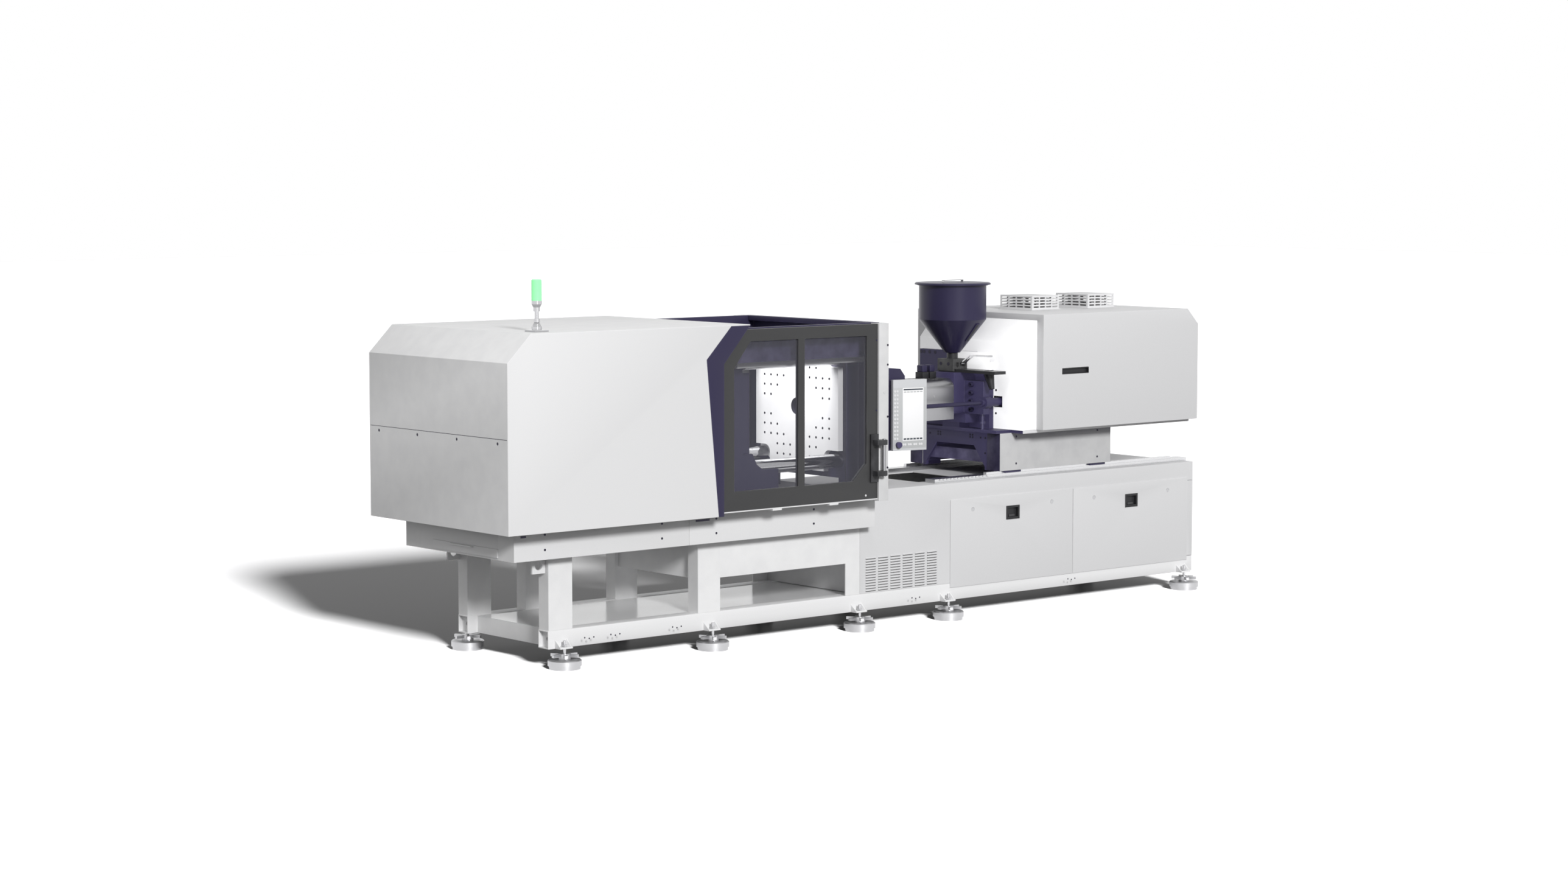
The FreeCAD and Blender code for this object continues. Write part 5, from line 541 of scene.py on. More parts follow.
SLOT_LOW, SLOT_HIGH, SLOT_PROUD, SLOT_DEEP = 0.886, 0.9, 0.0006, 0.0025
# The slots are thin near-black blocks on the skirt rather than openings: their darkness is painted shade.
for name, left, right in (("skirt_slot_left", -3.117, -3.074), ("skirt_slot_right", -1.683, -1.563)):
    slot = block(name, (left, -SKIRT_SIDE - SLOT_PROUD, SLOT_LOW),
                 (right, -SKIRT_SIDE + SLOT_DEEP, SLOT_HIGH), roll=0.0006)
    settle(slot, "machine_frame", dark_screw_and_hole_shade)


# ---------------------------------------------------------------- injection bed
# The folded cabinet of the injection end with pressed louvres, and two lift-out hatches at the front on
# quarter-turn locks, with moulded pulls and dark latches. Steel deck rails on top carry the carriage.

# A darker copy of the white coat for the cabinet, its hatches and louvres and other white parts: its lower
# tone is painted shade.
shaded_white_coat = coated("white_coat_painted_shade", colour=(0.63, 0.63, 0.637), worn=(0.7, 0.7, 0.7),
                      gloss=(0.49, 0.5), depth=0.00006, dust=0.02, speckle=0.035)
rolled("bed_cabinet", "machine_frame", "cabinet_shell", shaded_white_coat, roll=0.003,
       shortest=0.12)
rolled("cabinet_panel_left", "left_cabinet_panel", "hatch_left", shaded_white_coat, roll=0.0025)
rolled("cabinet_panel_right", "right_cabinet_panel", "hatch_right", shaded_white_coat, roll=0.0025)

ground_steel = brushed("ground_steel", colour=(0.66, 0.66, 0.67), stain=(0.5, 0.5, 0.5), gloss=(0.2, 0.32),
                       along=(6.0, 420.0, 420.0))
finish_node(ground_steel, "bed_rails", "platen_ways")

CABINET_SIDE, CABINET_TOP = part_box("bed_cabinet")[1].y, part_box("bed_cabinet")[1].z
LOUVRE_HALF, LOUVRE_PROUD, LOUVRE_HIGH = 0.048, 0.0045, 0.009
LOUVRE_X, LOUVRE_STEP_X, LOUVRE_COLUMNS = -0.016, 0.118, 6
LOUVRE_Z, LOUVRE_STEP_Z, LOUVRE_ROWS = 0.2655, 0.019, 13
louvre = block("louvre_lip", (-LOUVRE_HALF, -LOUVRE_PROUD, 0.0), (LOUVRE_HALF, 0.0, LOUVRE_HIGH), roll=0.0022,
               segments=3)
louvre_spots = [(LOUVRE_X + column * LOUVRE_STEP_X, LOUVRE_Z + row * LOUVRE_STEP_Z)
                for column in range(LOUVRE_COLUMNS) for row in range(LOUVRE_ROWS)]
louvres = copies(louvre, "louvre_lips", both_sides(louvre_spots, CABINET_SIDE))
settle(louvres, "machine_frame", shaded_white_coat)

COMB_X, COMB_STEP, COMB_TEETH, COMB_RISE = 0.70, 0.036, 14, 0.016
COMB_GAP, TOOTH_WIDE, TOOTH_PROUD, TOOTH_HIGH = 0.0005, 0.018, 0.004, 0.012
COMB_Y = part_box("bed_rails")[0].y - COMB_GAP
comb = block("deck_comb_tooth", (0.0, -TOOTH_PROUD, 0.0), (TOOTH_WIDE, 0.0, TOOTH_HIGH), roll=0.0008)
comb_places = [(COMB_X + tooth * COMB_STEP, COMB_Y, CABINET_TOP + COMB_RISE, ON_FRONT)
               for tooth in range(COMB_TEETH)]
settle(copies(comb, "deck_comb", comb_places), "machine_frame", ground_steel)

LINE_LEFT, LINE_RIGHT, LINE_HIGH, LINE_PROUD, LINE_DEEP = 3.262, 3.327, 0.0022, 0.0004, 0.0015
LINE_Z = (0.246, 0.832)
for index, low in enumerate(LINE_Z):
    seam_line = block(f"cabinet_seam_{index}", (LINE_LEFT, -CABINET_SIDE - LINE_PROUD, low),
                      (LINE_RIGHT, -CABINET_SIDE + LINE_DEEP, low + LINE_HIGH), roll=0.0003)
    settle(seam_line, "machine_frame", dark_screw_and_hole_shade)

black_moulding = coated("black_moulding", colour=(0.018, 0.018, 0.02), worn=(0.08, 0.08, 0.085),
                        gloss=(0.38, 0.5), grain=1400.0, depth=0.0001, dust=0.08)
latch_black = coated("latch_black", colour=(0.05, 0.05, 0.053), worn=(0.12, 0.12, 0.12), gloss=(0.3, 0.4),
                     grain=1400.0, depth=0.0001, dust=0.05)
lock_metal = brushed("lock_zinc", colour=(0.5, 0.5, 0.51), stain=(0.36, 0.36, 0.36), gloss=(0.25, 0.4),
                     along=(900.0, 900.0, 900.0))


def carve(piece, *tools):
    """Cuts the tools out of a piece and deletes them. The piece stays selected."""
    for tool in tools:
        pick(piece)
        cut = piece.modifiers.new("cut", "BOOLEAN")
        cut.object = tool
        cut.solver = "EXACT"
        bpy.ops.object.modifier_apply(modifier="cut")
        bpy.data.objects.remove(tool)


HATCH_FACE = -0.516
PULL_X, PULL_WIDE, PULL_LOW, PULL_HIGH = 0.567, 0.121, 0.681, 0.766
WELL_FRONT, WELL_BACK = -0.6, -0.4
RIM_WIDE, RIM_PROUD, RIM_DEEP = 0.008, 0.0035, 0.0002
CUP_GAP, CUP_PROUD, CUP_DEEP = 0.0005, 0.0027, 0.0235
LATCH_LEFT, LATCH_RIGHT, LATCH_LOW, LATCH_HIGH = 0.03, 0.092, 0.69, 0.708
LATCH_FRONT, LATCH_BACK = HATCH_FACE + 0.01, HATCH_FACE + 0.019
LOCK_X, LOCK_Z = (0.222, 1.032), 0.774

for side in ("left", "right"):
    body = f"{side}_cabinet_panel"
    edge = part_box(f"cabinet_panel_{side}")[0].x
    left = edge + PULL_X
    right = left + PULL_WIDE
    rim = block(f"pull_rim_{side}", (left - RIM_WIDE, HATCH_FACE - RIM_PROUD, PULL_LOW - RIM_WIDE),
                (right + RIM_WIDE, HATCH_FACE + RIM_DEEP, PULL_HIGH + RIM_WIDE), roll=0.0012)
    well = block(f"pull_well_{side}", (left, WELL_FRONT, PULL_LOW), (right, WELL_BACK, PULL_HIGH), roll=0.004)
    carve(rim, well)
    cup = block(f"pull_cup_{side}", (left + CUP_GAP, HATCH_FACE - CUP_PROUD, PULL_LOW + CUP_GAP),
                (right - CUP_GAP, HATCH_FACE + CUP_DEEP, PULL_HIGH - CUP_GAP), roll=0.0008)
    sink(cup, inset=0.007, deep=0.022)
    latch = block(f"pull_latch_{side}", (left + LATCH_LEFT, LATCH_FRONT, LATCH_LOW),
                  (left + LATCH_RIGHT, LATCH_BACK, LATCH_HIGH), roll=0.003)
    settle(rim, body, black_moulding)
    settle(cup, body, black_moulding)
    settle(latch, body, latch_black)
    lock_places = [(edge + x, HATCH_FACE, LOCK_Z, ON_FRONT) for x in LOCK_X]
    heads(f"quarter_turn_locks_{side}", lock_places, body, lock_metal,
          radius=0.0155, high=0.003, inset=0.004, deep=0.0012, sides=28, roll=0.001)


# ---------------------------------------------------------------- platens, tie bars and toggle
# Iron castings in dark satin paint with ground faces, on four polished tie bars. Folding links, a crosshead
# and the clamp screw sit between the rear and the moving platen. A soft lamp lifts the fixed platen's face.

indigo_coat = coated("indigo_satin_coat", colour=(0.025, 0.021, 0.056), worn=(0.1, 0.09, 0.16),
                     gloss=(0.44, 0.47), grain=340.0, depth=0.0001, dust=0.01, speckle=0.1)
chrome = brushed("hard_chrome", colour=(0.5, 0.5, 0.51), stain=(0.38, 0.38, 0.4), gloss=(0.05, 0.1),
                 along=(3.0, 300.0, 300.0), stains=0.08, depth=0.00001)
# The fixed platen's ground face: bare steel given an almost white, mostly diffuse colour, a painted
# reflection of the white surroundings that it mirrors.
platen_painted_reflection = brushed("ground_platen_painted_reflection", colour=(0.93, 0.93, 0.94), stain=(0.8, 0.8, 0.8), gloss=(0.34, 0.42),
                        along=(420.0, 420.0, 14.0), stains=0.1, metallic=0.15)
platen = rolled("fixed_platen", "machine_frame", "fixed_platen_casting", indigo_coat,
                roll=0.002, shortest=0.1)

FACE_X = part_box("fixed_platen")[0].x
FACE_DEEP, FACE_HALF, NOTCH_HALF, HOLE_RIM, AXIS_Z = 0.044, 0.44, 0.285, 0.003, 1.556


def repaint(piece, finish, chosen):
    """Gives the chosen faces of a piece another finish."""
    piece.data.materials.append(finish)
    for face in piece.data.polygons:
        if chosen(face):
            face.material_index = len(piece.data.materials) - 1


def on_mould_side(face):
    """Whether a face of the fixed platen belongs to its ground side."""
    return face.center.x <= FACE_X + FACE_DEEP


def in_shaded_mould_hole(face):
    """Whether a face is a wall of one of the holes in the ground side, whose near-black colour is painted
    shade.
    """
    across, up = abs(face.center.y), abs(face.center.z - AXIS_Z)
    sunk = face.center.x > FACE_X + HOLE_RIM
    return on_mould_side(face) and sunk and max(across, up) < FACE_HALF and min(across, up) < NOTCH_HALF


# The ground side takes the almost white steel: its brightness is partly painted reflection, partly the mould
# space lamp's light.
repaint(platen, platen_painted_reflection, on_mould_side)
# The hole walls take the near-black screw finish: painted shade inside the holes.
repaint(platen, dark_screw_and_hole_shade, in_shaded_mould_hole)
lamp("mould_space_lamp", "AREA", energy=56.0, size=0.8, place=(-0.95, -0.05, 2.75),
     way=Vector((0.52, 0.0, -0.85)), onto=[platen])
finish_node(chrome, "tie_bars")
finish_node(indigo_coat, "moving_platen", "rear_platen", "crosshead", "rear_link_upper", "rear_link_lower",
            "front_link_upper", "front_link_lower", "crosshead_link_upper", "crosshead_link_lower")
finish_node(ground_steel, "ejector_plate", "clamp_screw", "barrel", "plasticising_screw",
            "injection_ball_screw")
black_coat = coated("black_satin_coat", colour=(0.028, 0.028, 0.031), worn=(0.12, 0.12, 0.13),
                    gloss=(0.3, 0.42), grain=420.0, dust=0.06)
finish_node(black_coat, "clamp_motor", "hopper_slide_bar")


# ---------------------------------------------------------------- clamp cover
# The long folded hood over the clamping unit, white with a dark raking strip at its open end and a sloped
# left shoulder. Its end sheet has a seam and sunk screws.

clamp_hood = rolled("clamp_cover", "machine_frame", "clamp_hood", white_coat, roll=0.005,
                    shortest=0.1)
rolled("cover_strips", "machine_frame", "raking_strips", indigo_coat, roll=0.003)

COVER_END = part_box("clamp_cover")[0].x
GROOVE_OUT, GROOVE_FLOOR = COVER_END - 0.01, COVER_END + 0.004
SEAM_Z, SEAM_REACH, SEAM_HALF = 1.537, 0.779, 0.002
SCREW_Z, SCREW_Y = 1.508, (-0.676, -0.225, 0.225, 0.676)
groove = block("seam_groove", (GROOVE_OUT, -SEAM_REACH, SEAM_Z - SEAM_HALF),
               (GROOVE_FLOOR, SEAM_REACH, SEAM_Z + SEAM_HALF), roll=0.0003)
sink_places = [(GROOVE_FLOOR, y, SCREW_Z, ON_LEFT) for y in SCREW_Y]
sinks = copies(disc("screw_sink", radius=0.0105, high=0.014), "screw_sinks", sink_places)
carve(clamp_hood, groove, sinks)
bpy.ops.object.shade_smooth_by_angle(angle=SMOOTH_ANGLE)

SEAM_FRONT, SEAM_BACK = COVER_END + 0.0032, COVER_END + 0.0045
STRIP_REACH, STRIP_HALF = SEAM_REACH - 0.0005, SEAM_HALF - 0.0001
seam = block("cover_end_seam", (SEAM_FRONT, -STRIP_REACH, SEAM_Z - STRIP_HALF),
             (SEAM_BACK, STRIP_REACH, SEAM_Z + STRIP_HALF), roll=0.0003)
settle(seam, "machine_frame", dark_screw_and_hole_shade)
SCREW_SEAT = GROOVE_FLOOR + 0.0002
end_places = [(SCREW_SEAT, y, SCREW_Z, ON_LEFT) for y in SCREW_Y]
heads("cover_end_screws", end_places, "machine_frame", dark_screw_and_hole_shade,
      radius=0.0098, high=0.0036, inset=0.003, deep=0.001)


# ---------------------------------------------------------------- guard and doors
# A dark angle frame with a white cable channel carries two sliding doors of charcoal sheet, with smoked panes
# and tube handles. White posts stop them.

charcoal_coat = coated("charcoal_coat", colour=(0.044, 0.044, 0.045), worn=(0.15, 0.15, 0.155),
                       gloss=(0.36, 0.5), grain=300.0, dust=0.03, speckle=0.12)
guard = rolled("guard_frame", "machine_frame", "guard_weldment", indigo_coat, roll=0.002)
CHANNEL_LOW, CHANNEL_HIGH = (-1.30, -0.585, 1.885), (-0.125, 0.585, 1.94)


def in_channel(face):
    """Whether a face's middle lies within the cable channel."""
    return all(low <= middle <= high for low, middle, high in zip(CHANNEL_LOW, face.center, CHANNEL_HIGH))


# The cable channel and the jamb posts take the darker copy of the white coat, its lower tone painted shade.
repaint(guard, shaded_white_coat, in_channel)
rolled("door_jambs", "machine_frame", "jamb_posts", shaded_white_coat, roll=0.003)
rolled("front_door", "operator_door", "front_door_sheet", charcoal_coat, roll=0.002)
rolled("rear_door", "back_door", "rear_door_sheet", charcoal_coat, roll=0.002)
handle = rolled("front_handle", "operator_door", "door_pull", black_moulding, roll=0.003,
                shortest=0.015)
tube_silver = brushed("handle_silver", colour=(0.3, 0.3, 0.31), stain=(0.22, 0.22, 0.22), gloss=(0.3, 0.4),
                      along=(300.0, 300.0, 12.0), stains=0.1)
TUBE_X, TUBE_Y, TUBE_REACH = -0.179, -0.8265, 0.0135
repaint(handle, tube_silver,
        lambda face: math.hypot(face.center.x - TUBE_X, face.center.y - TUBE_Y) < TUBE_REACH)

DOOR_SIDE, JAMB_SIDE = -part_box("front_door")[0].y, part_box("door_jambs")[1].y
DOOR_SCREW_X, DOOR_SCREW_Z = -0.207, (1.08, 1.567, 2.053)
DOOR_PLUG_X, DOOR_PLUG_Z = -0.305, 0.982
JAMB_CAP_X, JAMB_CAP_Z = -0.142, 1.691
JAMB_BOLT_X, JAMB_BOLT_Z = -0.114, (1.166, 1.52, 1.881, 2.017)

# The door plugs and jamb caps take the darker copy of the white coat, its lower tone painted shade.
for body, side, turn in (("operator_door", -1.0, ON_FRONT), ("back_door", 1.0, ON_BACK)):
    door_places = [(DOOR_SCREW_X, side * DOOR_SIDE, z, turn) for z in DOOR_SCREW_Z]
    heads(f"{body}_screws", door_places, body, indigo_coat,
          radius=0.0065, high=0.0018, inset=0.002, deep=0.001)
    heads(f"{body}_plug", [(DOOR_PLUG_X, side * DOOR_SIDE, DOOR_PLUG_Z, turn)], body, shaded_white_coat,
          radius=0.008, high=0.0015)
    heads(f"jamb_cap_{body}", [(JAMB_CAP_X, side * JAMB_SIDE, JAMB_CAP_Z, turn)], "machine_frame",
          shaded_white_coat, radius=0.012, high=0.002)
    jamb_places = [(JAMB_BOLT_X, side * JAMB_SIDE, z, turn) for z in JAMB_BOLT_Z]
    heads(f"jamb_bolts_{body}", jamb_places, "machine_frame", dark_screw_and_hole_shade,
          radius=0.0075, high=0.003, inset=0.0025, deep=0.002)

smoked = bpy.data.materials.new("smoked_pane")
smoked.use_nodes = True
smoked_tree = smoked.node_tree
smoked_shader = smoked_tree.nodes["Principled BSDF"]
smoked_shader.inputs["Base Color"].default_value = (0.2, 0.2, 0.24, 1.0)
smoked_shader.inputs["Specular IOR Level"].default_value = 0.3
smoked_place = smoked_tree.nodes.new("ShaderNodeTexCoord")
smoked_haze = noise(smoked_tree, smoked_place.outputs["Object"], 2.5, 4.0)
smoked_gloss = spread(smoked_tree, smoked_haze, 0.3, 0.7, 0.03, 0.08)
smoked_tree.links.new(smoked_gloss, smoked_shader.inputs["Roughness"])
smoked_veil = spread(smoked_tree, smoked_haze, 0.2, 0.8, 0.12, 0.15)
smoked_tree.links.new(smoked_veil, smoked_shader.inputs["Alpha"])
finish_node(smoked, "front_windows", "rear_windows")


# ---------------------------------------------------------------- injection carriage and unit
# The carriage of dark plate with a white box each side, with the injection unit's plates and rods, the barrel
# under a stainless shield, and the throat casting that the hopper stands on. A thin white sheet, folded back
# to the hood at one side, covers the top of the front plate.

weldment = rolled("carriage_frame", "carriage", "carriage_weldment", indigo_coat, roll=0.002)
# A still darker copy of the white coat for the carriage's side boxes and the lower unit plates: its lower
# tone is painted shade.
deep_shade_coat = coated("white_coat_deep_painted_shade", colour=(0.5, 0.5, 0.507), worn=(0.58, 0.58, 0.58), gloss=(0.49, 0.5),
                  depth=0.00006, dust=0.02, speckle=0.035)
boxes = rolled("carriage_boxes", "carriage", "carriage_side_boxes", deep_shade_coat, roll=0.003)
repaint(boxes, indigo_coat, lambda face: face.normal.x < -SQUARE_ON)
plates = rolled("injection_frame", "carriage", "unit_plates", indigo_coat, roll=0.002)
PLATE_SIDE, PLATE_HIGH = 0.59, 1.34
# The lower side faces of the unit plates take that darker white copy, painted shade.
repaint(plates, deep_shade_coat, lambda face: face.center.z < PLATE_HIGH and abs(face.center.y) > PLATE_SIDE)
finish_node(indigo_coat, "injection_plate", "traverse_rods")
casting = rolled("throat_housing", "carriage", "throat_casting", indigo_coat, roll=0.003)
stainless = brushed("brushed_stainless", colour=(0.4, 0.4, 0.41), stain=(0.32, 0.32, 0.33), gloss=(0.3, 0.36),
                    along=(8.0, 520.0, 520.0), stains=0.03, depth=0.00002)
finish_node(stainless, "heater_shield")

PLATE_FRONT, HOOD_FRONT, LAP = 1.346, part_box("injection_hood")[0].x, 0.0002
BLANK_X, BLANK_NEAR, BLANK_FAR = 1.3436, -0.3005, 0.098
BLANK_LOW, BLANK_TOP = 1.757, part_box("injection_frame")[1].z + 0.0015
RETURN_NEAR, RETURN_FAR, RETURN_TOP = -0.3018, -0.2998, 1.8168
blank = block("throat_hood_blank", (BLANK_X, BLANK_NEAR, BLANK_LOW),
              (PLATE_FRONT + LAP, BLANK_FAR, BLANK_TOP), roll=0.0008)
settle(blank, "carriage", white_coat)
blank_return = block("throat_hood_return", (BLANK_X, RETURN_NEAR, BLANK_LOW),
                     (HOOD_FRONT + LAP, RETURN_FAR, RETURN_TOP), roll=0.0006)
settle(blank_return, "carriage", white_coat)

PLATE_HOLE_Z, PLATE_HOLE_Y = 1.862, (0.285, 0.345, 0.405, 0.437)
hole_places = [(PLATE_FRONT, y, PLATE_HOLE_Z, ON_LEFT) for y in PLATE_HOLE_Y]
# The holes are sunk discs of the near-black screw finish: their darkness is painted shade.
heads("plate_top_holes", hole_places, "carriage", dark_screw_and_hole_shade,
      radius=0.0125, high=0.0012, inset=0.0015, deep=0.001, sides=24, roll=0.0003)

FLANGE_X, FLANGE_Y, FLANGE_Z, FLANGE_STEP, FLANGE_ROWS = 1.232, 0.234, 1.47, 0.061, 4
flange_places = [(FLANGE_X, side * FLANGE_Y, FLANGE_Z + row * FLANGE_STEP, ON_LEFT)
                 for side in (-1, 1) for row in range(FLANGE_ROWS)]
heads("flange_bolts", flange_places, "carriage", indigo_coat,
      radius=0.019, high=0.024, inset=0.009, deep=0.012, sides=28, roll=0.002)

ARCH_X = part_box("carriage_frame")[0].x
ARCH_SPOTS = ((0.159, 1.276), (0.185, 1.276), (0.159, 1.258), (0.185, 1.258), (0.271, 1.261), (0.32, 1.261),
              (0.32, 1.149), (0.388, 1.09))
arch_places = [(ARCH_X, side * y, z, ON_LEFT) for side in (-1, 1) for y, z in ARCH_SPOTS]
heads("arch_screws", arch_places, "carriage", dark_screw_and_hole_shade,
      radius=0.0075, high=0.0015, inset=0.0022, deep=0.001)

BOX_SIDE, BOX_SCREW_X, BOX_SCREW_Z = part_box("carriage_boxes")[1].y, (1.446, 2.3), (1.075, 1.274)
box_spots = [(x, z) for x in BOX_SCREW_X for z in BOX_SCREW_Z]
heads("box_screws", both_sides(box_spots, BOX_SIDE), "carriage", dark_screw_and_hole_shade,
      radius=0.008, high=0.0016, inset=0.0024, deep=0.001)

SHIELD_SIDE, SHIELD_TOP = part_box("heater_shield")[1].y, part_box("heater_shield")[1].z
SHIELD_SPOTS = ((0.27, 1.574), (0.93, 1.574))
heads("shield_screws", both_sides(SHIELD_SPOTS, SHIELD_SIDE), "carriage", lock_metal,
      radius=0.009, high=0.003, inset=0.003, deep=0.0015)

SOCKET_WIDE, SOCKET_NEAR, SOCKET_FAR, STEP_X, STEP_Y = 0.062, -0.03, 0.05, 0.006, 0.008
BASE_LOW, BASE_TOP = SHIELD_TOP - 0.0005, SHIELD_TOP + 0.047
HOOD_LOW, HOOD_TOP = BASE_TOP - 0.001, SHIELD_TOP + 0.097
for name, left in (("heater_socket_left", 0.925), ("heater_socket_right", 1.0)):
    base = block(name + "_base", (left, SOCKET_NEAR, BASE_LOW), (left + SOCKET_WIDE, SOCKET_FAR, BASE_TOP),
                 roll=0.004)
    hood = block(name + "_hood", (left + STEP_X, SOCKET_NEAR + STEP_Y, HOOD_LOW),
                 (left + SOCKET_WIDE - STEP_X, SOCKET_FAR - STEP_Y, HOOD_TOP), roll=0.007, segments=3)
    settle(base, "carriage", black_moulding)
    settle(hood, "carriage", indigo_coat)


# ---------------------------------------------------------------- hopper
# A spun sheet hopper with a lid and a sight window, on a charcoal slide block. The block rides a slide bar
# and has a hand lever and a discharge tube.

hopper_coat = coated("hopper_indigo_coat", colour=(0.022, 0.018, 0.054), worn=(0.12, 0.11, 0.18),
                     gloss=(0.3, 0.38), grain=420.0, dust=0.03, speckle=0.08)
BLOCK_TOP, NECK_TOP, LID_TOP = 1.8335, 1.8785, 2.3955
hopper = rolled("hopper", "hopper_unit", "hopper_sheet", hopper_coat, roll=0.0025,
                shortest=0.03)
charcoal_block = coated("charcoal_block", colour=(0.055, 0.055, 0.056), worn=(0.15, 0.15, 0.15),
                        gloss=(0.42, 0.52), grain=600.0, dust=0.02)
repaint(hopper, charcoal_block, lambda face: face.center.z < BLOCK_TOP)
repaint(hopper, black_coat, lambda face: BLOCK_TOP <= face.center.z < NECK_TOP)
lid = rolled("hopper_lid", "hopper_unit", "hopper_lid_sheet", hopper_coat, roll=0.001,
             shortest=0.015)
repaint(lid, chrome, lambda face: face.center.z > LID_TOP)
finish_node(chrome, "hopper_lever")

HOPPER_X = (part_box("hopper")[0].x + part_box("hopper")[1].x) / 2
CONE_LOW, CONE_TOP, CONE_FOOT, CONE_HEAD = 1.878, 2.124, 0.058, 0.249
SIGHT_SHARE, SIGHT_TURN, SIGHT_DEEP = 0.62, math.radians(12.0), 0.004
sight_z = CONE_LOW + (CONE_TOP - CONE_LOW) * SIGHT_SHARE
sight_reach = CONE_FOOT + (CONE_HEAD - CONE_FOOT) * SIGHT_SHARE
lean = math.atan2(CONE_HEAD - CONE_FOOT, CONE_TOP - CONE_LOW)
on_cone = (Matrix.Translation((HOPPER_X, 0.0, sight_z)) @ Matrix.Rotation(SIGHT_TURN, 4, "Z")
           @ Matrix.Translation((0.0, -sight_reach, 0.0)) @ Matrix.Rotation(lean, 4, "X"))
for name, wide, long, proud, finish, slot in (
        ("sight_frame", 0.042, 0.165, 0.006, hopper_coat, "indigo_paint"),
        ("sight_pane", 0.024, 0.147, 0.0072, black_moulding, "black_plastic")):
    window = block(name, (-wide / 2, -proud, -long / 2), (wide / 2, SIGHT_DEEP, long / 2), roll=0.0015)
    if name == "sight_frame":
        sink(window, inset=0.008, deep=0.002)
    window.matrix_world = on_cone
    settle(window, "hopper_unit", finish)

BLOCK_FACE, BLOCK_BOLT_Y, BLOCK_BOLT_Z = 1.18, (-0.034, 0.047), 1.797
block_places = [(BLOCK_FACE, y, BLOCK_BOLT_Z, ON_LEFT) for y in BLOCK_BOLT_Y]
heads("slide_block_bolts", block_places, "hopper_unit", dark_screw_and_hole_shade,
      radius=0.0125, high=0.002, inset=0.004, deep=0.0015, sides=24)


# ---------------------------------------------------------------- injection cover
# The white hood over the injection unit with a slot pull each side, the front hood round the throat, and two
# exhaust boxes with fans on the roof. A shadowless lamp from the left lifts the throat's end.

# The injection cover and the roof vents take the darker copy of the white coat, its lower tone painted shade.
rolled("injection_cover", "carriage", "injection_hood_shell", shaded_white_coat, roll=0.005,
       shortest=0.1)
throat_hood = rolled("injection_hood", "carriage", "throat_hood", white_coat, roll=0.004)
throat_lamp = lamp("throat_lamp", "AREA", energy=60.0, size=0.9, place=(-0.7, -1.6, 1.6),
                   way=Vector((0.9, 0.42, 0.0)),
                   onto=[throat_hood, blank, blank_return, weldment, plates, casting])
throat_lamp.data.use_shadow = False
rolled("roof_vents", "carriage", "exhaust_boxes", shaded_white_coat, roll=0.002, shortest=0.08)

HOOD_SCREW_Y, HOOD_SCREW_Z = -0.327, (1.4385, 1.609)
hood_places = [(HOOD_FRONT, HOOD_SCREW_Y, z, ON_LEFT) for z in HOOD_SCREW_Z]
heads("hood_screws", hood_places, "carriage", dark_screw_and_hole_shade,
      radius=0.0085, high=0.0018, inset=0.0026, deep=0.001)

LINER_LEFT, LINER_RIGHT, LINER_LOW, LINER_HIGH = 1.7245, 2.0035, 1.7275, 1.7715
LINER_FRONT, LINER_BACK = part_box("injection_cover")[0].y - LAP, -0.65
for side in ("front", "back"):
    liner = block("pull_liner_" + side, (LINER_LEFT, LINER_FRONT, LINER_LOW),
                  (LINER_RIGHT, LINER_BACK, LINER_HIGH), roll=0.0006)
    sink(liner, inset=0.0035, deep=0.019)
    if side == "back":
        liner.data.transform(Matrix.Diagonal((1.0, -1.0, 1.0, 1.0)))
        liner.data.flip_normals()
    settle(liner, "carriage", black_moulding)
finish_node(black_moulding, "exhaust_fan_left", "exhaust_fan_right")


# ---------------------------------------------------------------- signal lamp and control panel
# A chromed pole with a green lens on the cover, and the operator's panel on its dark housing: a light grey
# case with a screen, keys beside and below it, and a dial.

finish_node(chrome, "lamp_pole", "lamp_base")
lens = coated("lamp_lens_green", colour=(0.3, 0.85, 0.4), worn=(0.5, 0.9, 0.6), gloss=(0.12, 0.2), grain=60.0,
              depth=0.0001, dust=0.0)
lens_shader = lens.node_tree.nodes["Principled BSDF"]
lens_shader.inputs["Emission Color"].default_value = (0.3, 1.0, 0.42, 1.0)
lens_shader.inputs["Emission Strength"].default_value = 0.35
finish_node(lens, "lamp_lens")
rolled("panel_housing", "machine_frame", "panel_housing_sheet", indigo_coat, roll=0.002)
panel_grey = coated("panel_light_grey", colour=(0.58, 0.59, 0.605), worn=(0.7, 0.7, 0.7), gloss=(0.42, 0.5),
                    grain=1100.0, depth=0.0001, dust=0.0)
rolled("control_panel", "panel", "panel_case", panel_grey, roll=0.003)

PANEL_HINGE, PANEL_TURN, PANEL_FACE = (-0.052, -0.764, 1.278), math.radians(-12.0), -0.043
TURNED = Matrix.Translation(PANEL_HINGE) @ Matrix.Rotation(PANEL_TURN, 4, "Z")


def on_panel(piece, finish):
    """Brings a piece that is modelled in the panel's own upright frame to the turned panel."""
    piece.matrix_world = TURNED @ piece.matrix_world
    settle(piece, "panel", finish)


def panel_sheet(name, across, up, proud, deep, roll, finish):
    """A thin sheet on the panel's face, from its left to its right and from its foot to its top."""
    sheet = block(name, (across[0], PANEL_FACE - proud, up[0]), (across[1], PANEL_FACE + deep, up[1]), roll)
    on_panel(sheet, finish)


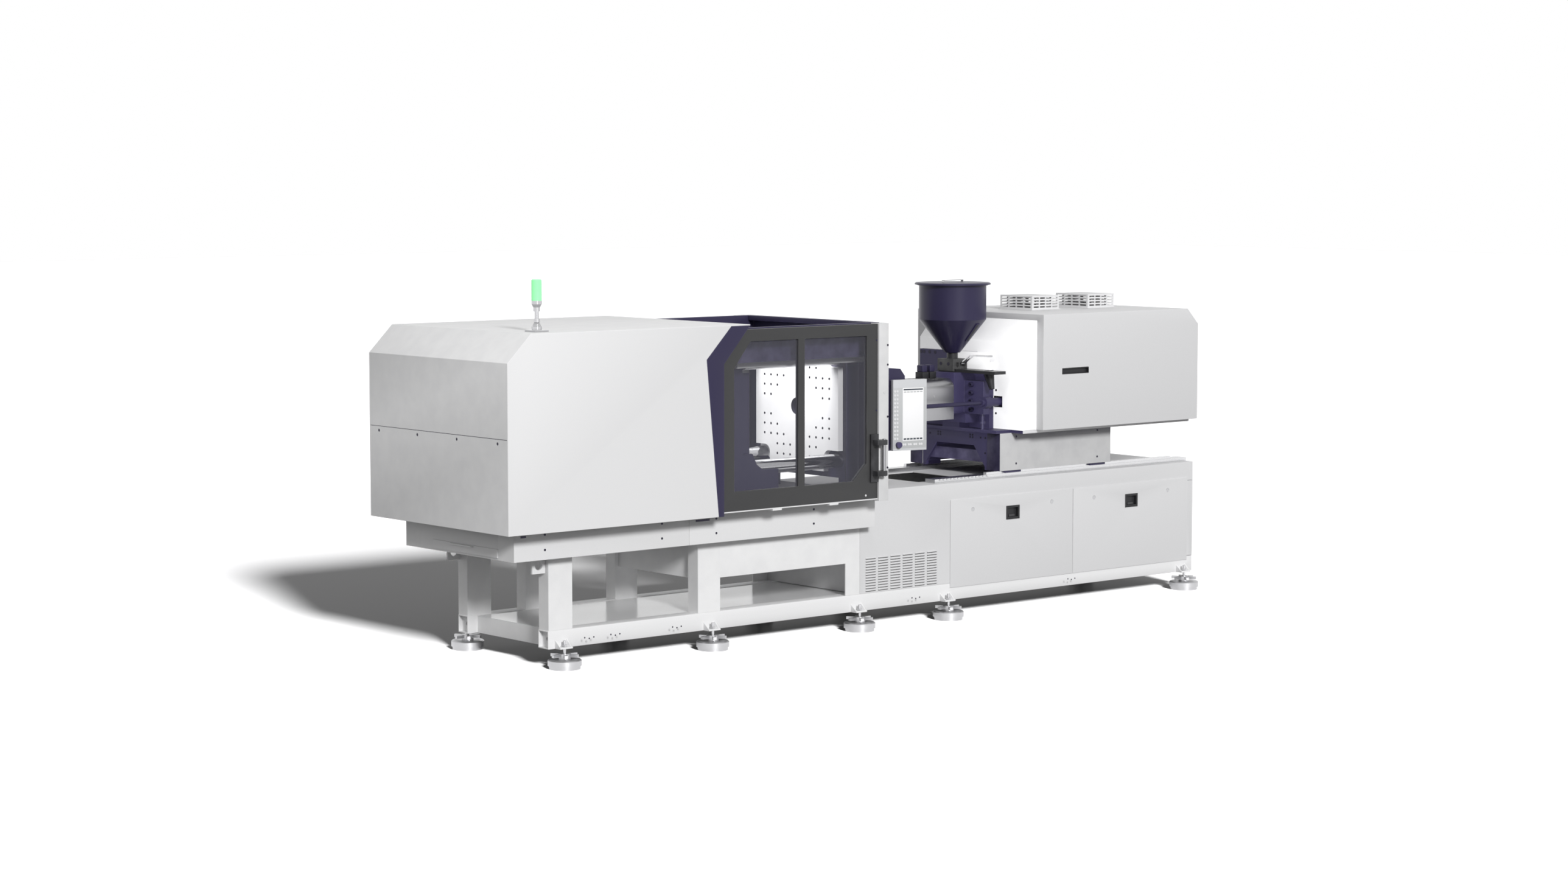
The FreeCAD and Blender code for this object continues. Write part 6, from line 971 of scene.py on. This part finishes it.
key_field = coated("panel_key_field", colour=(0.5, 0.51, 0.515), worn=(0.6, 0.6, 0.6), gloss=(0.4, 0.48),
                   grain=1100.0, depth=0.00005, dust=0.0)
panel_sheet("panel_key_field", across=(-0.012, 0.252), up=(0.016, 0.44), proud=0.0008, deep=0.002,
            roll=0.0004, finish=key_field)
screen_white = coated("screen_white", colour=(0.9, 0.9, 0.91), worn=(0.9, 0.9, 0.9), gloss=(0.08, 0.12),
                      grain=1500.0, depth=0.00001, dust=0.0)
panel_sheet("panel_screen", across=(0.062, 0.23), up=(0.067, 0.436), proud=0.0018, deep=0.002, roll=0.0005,
            finish=screen_white)
screen_dark = coated("screen_dark", colour=(0.05, 0.06, 0.075), worn=(0.1, 0.1, 0.1), gloss=(0.08, 0.12),
                     grain=1500.0, depth=0.00001, dust=0.0)
MARK_PROUD, MARK_DEEP, MARK_ROLL = 0.0021, -0.0012, 0.0002
panel_sheet("screen_title", (0.068, 0.224), (0.42, 0.43), MARK_PROUD, MARK_DEEP, MARK_ROLL, screen_dark)
TAB_X, TAB_STEP, TAB_WIDE, TAB_UP, CELL_UP = 0.07, 0.026, 0.021, (0.075, 0.086), (0.404, 0.412)
for index in range(6):
    left = TAB_X + index * TAB_STEP
    across = (left, left + TAB_WIDE)
    panel_sheet(f"screen_tab_{index}", across, TAB_UP, MARK_PROUD, MARK_DEEP, MARK_ROLL, screen_dark)
    panel_sheet(f"screen_cell_{index}", across, CELL_UP, MARK_PROUD, MARK_DEEP, MARK_ROLL, key_field)

key_white = coated("key_white", colour=(0.72, 0.72, 0.73), worn=(0.9, 0.9, 0.9), gloss=(0.35, 0.45),
                   grain=1500.0, depth=0.00005, dust=0.0)
SIDE_KEY_X, SIDE_KEY_Z, SIDE_KEY_STEP, SIDE_KEY_ROWS = (0.0, 0.02), 0.084, 0.0275, 13
FOOT_KEY_X, FOOT_KEY_Z, PAIR_STEP, KEY_STEP, PAIRS = 0.068, 0.042, 0.044, 0.016, 4
key = sink(disc("panel_key", radius=0.008, high=0.0022, sides=16, roll=0.0006), inset=0.002, deep=0.0006)
key_places = [(x, PANEL_FACE, SIDE_KEY_Z + row * SIDE_KEY_STEP, ON_FRONT)
              for x in SIDE_KEY_X for row in range(SIDE_KEY_ROWS)]
key_places += [(FOOT_KEY_X + pair * PAIR_STEP + half * KEY_STEP, PANEL_FACE, FOOT_KEY_Z, ON_FRONT)
               for pair in range(PAIRS) for half in range(2)]
on_panel(copies(key, "panel_keys", key_places), key_white)
dial_indigo = coated("dial_indigo", colour=(0.06, 0.05, 0.12), worn=(0.15, 0.14, 0.22), gloss=(0.22, 0.3),
                     grain=1500.0, depth=0.0001, dust=0.0)
finish_node(dial_indigo, "panel_dial")
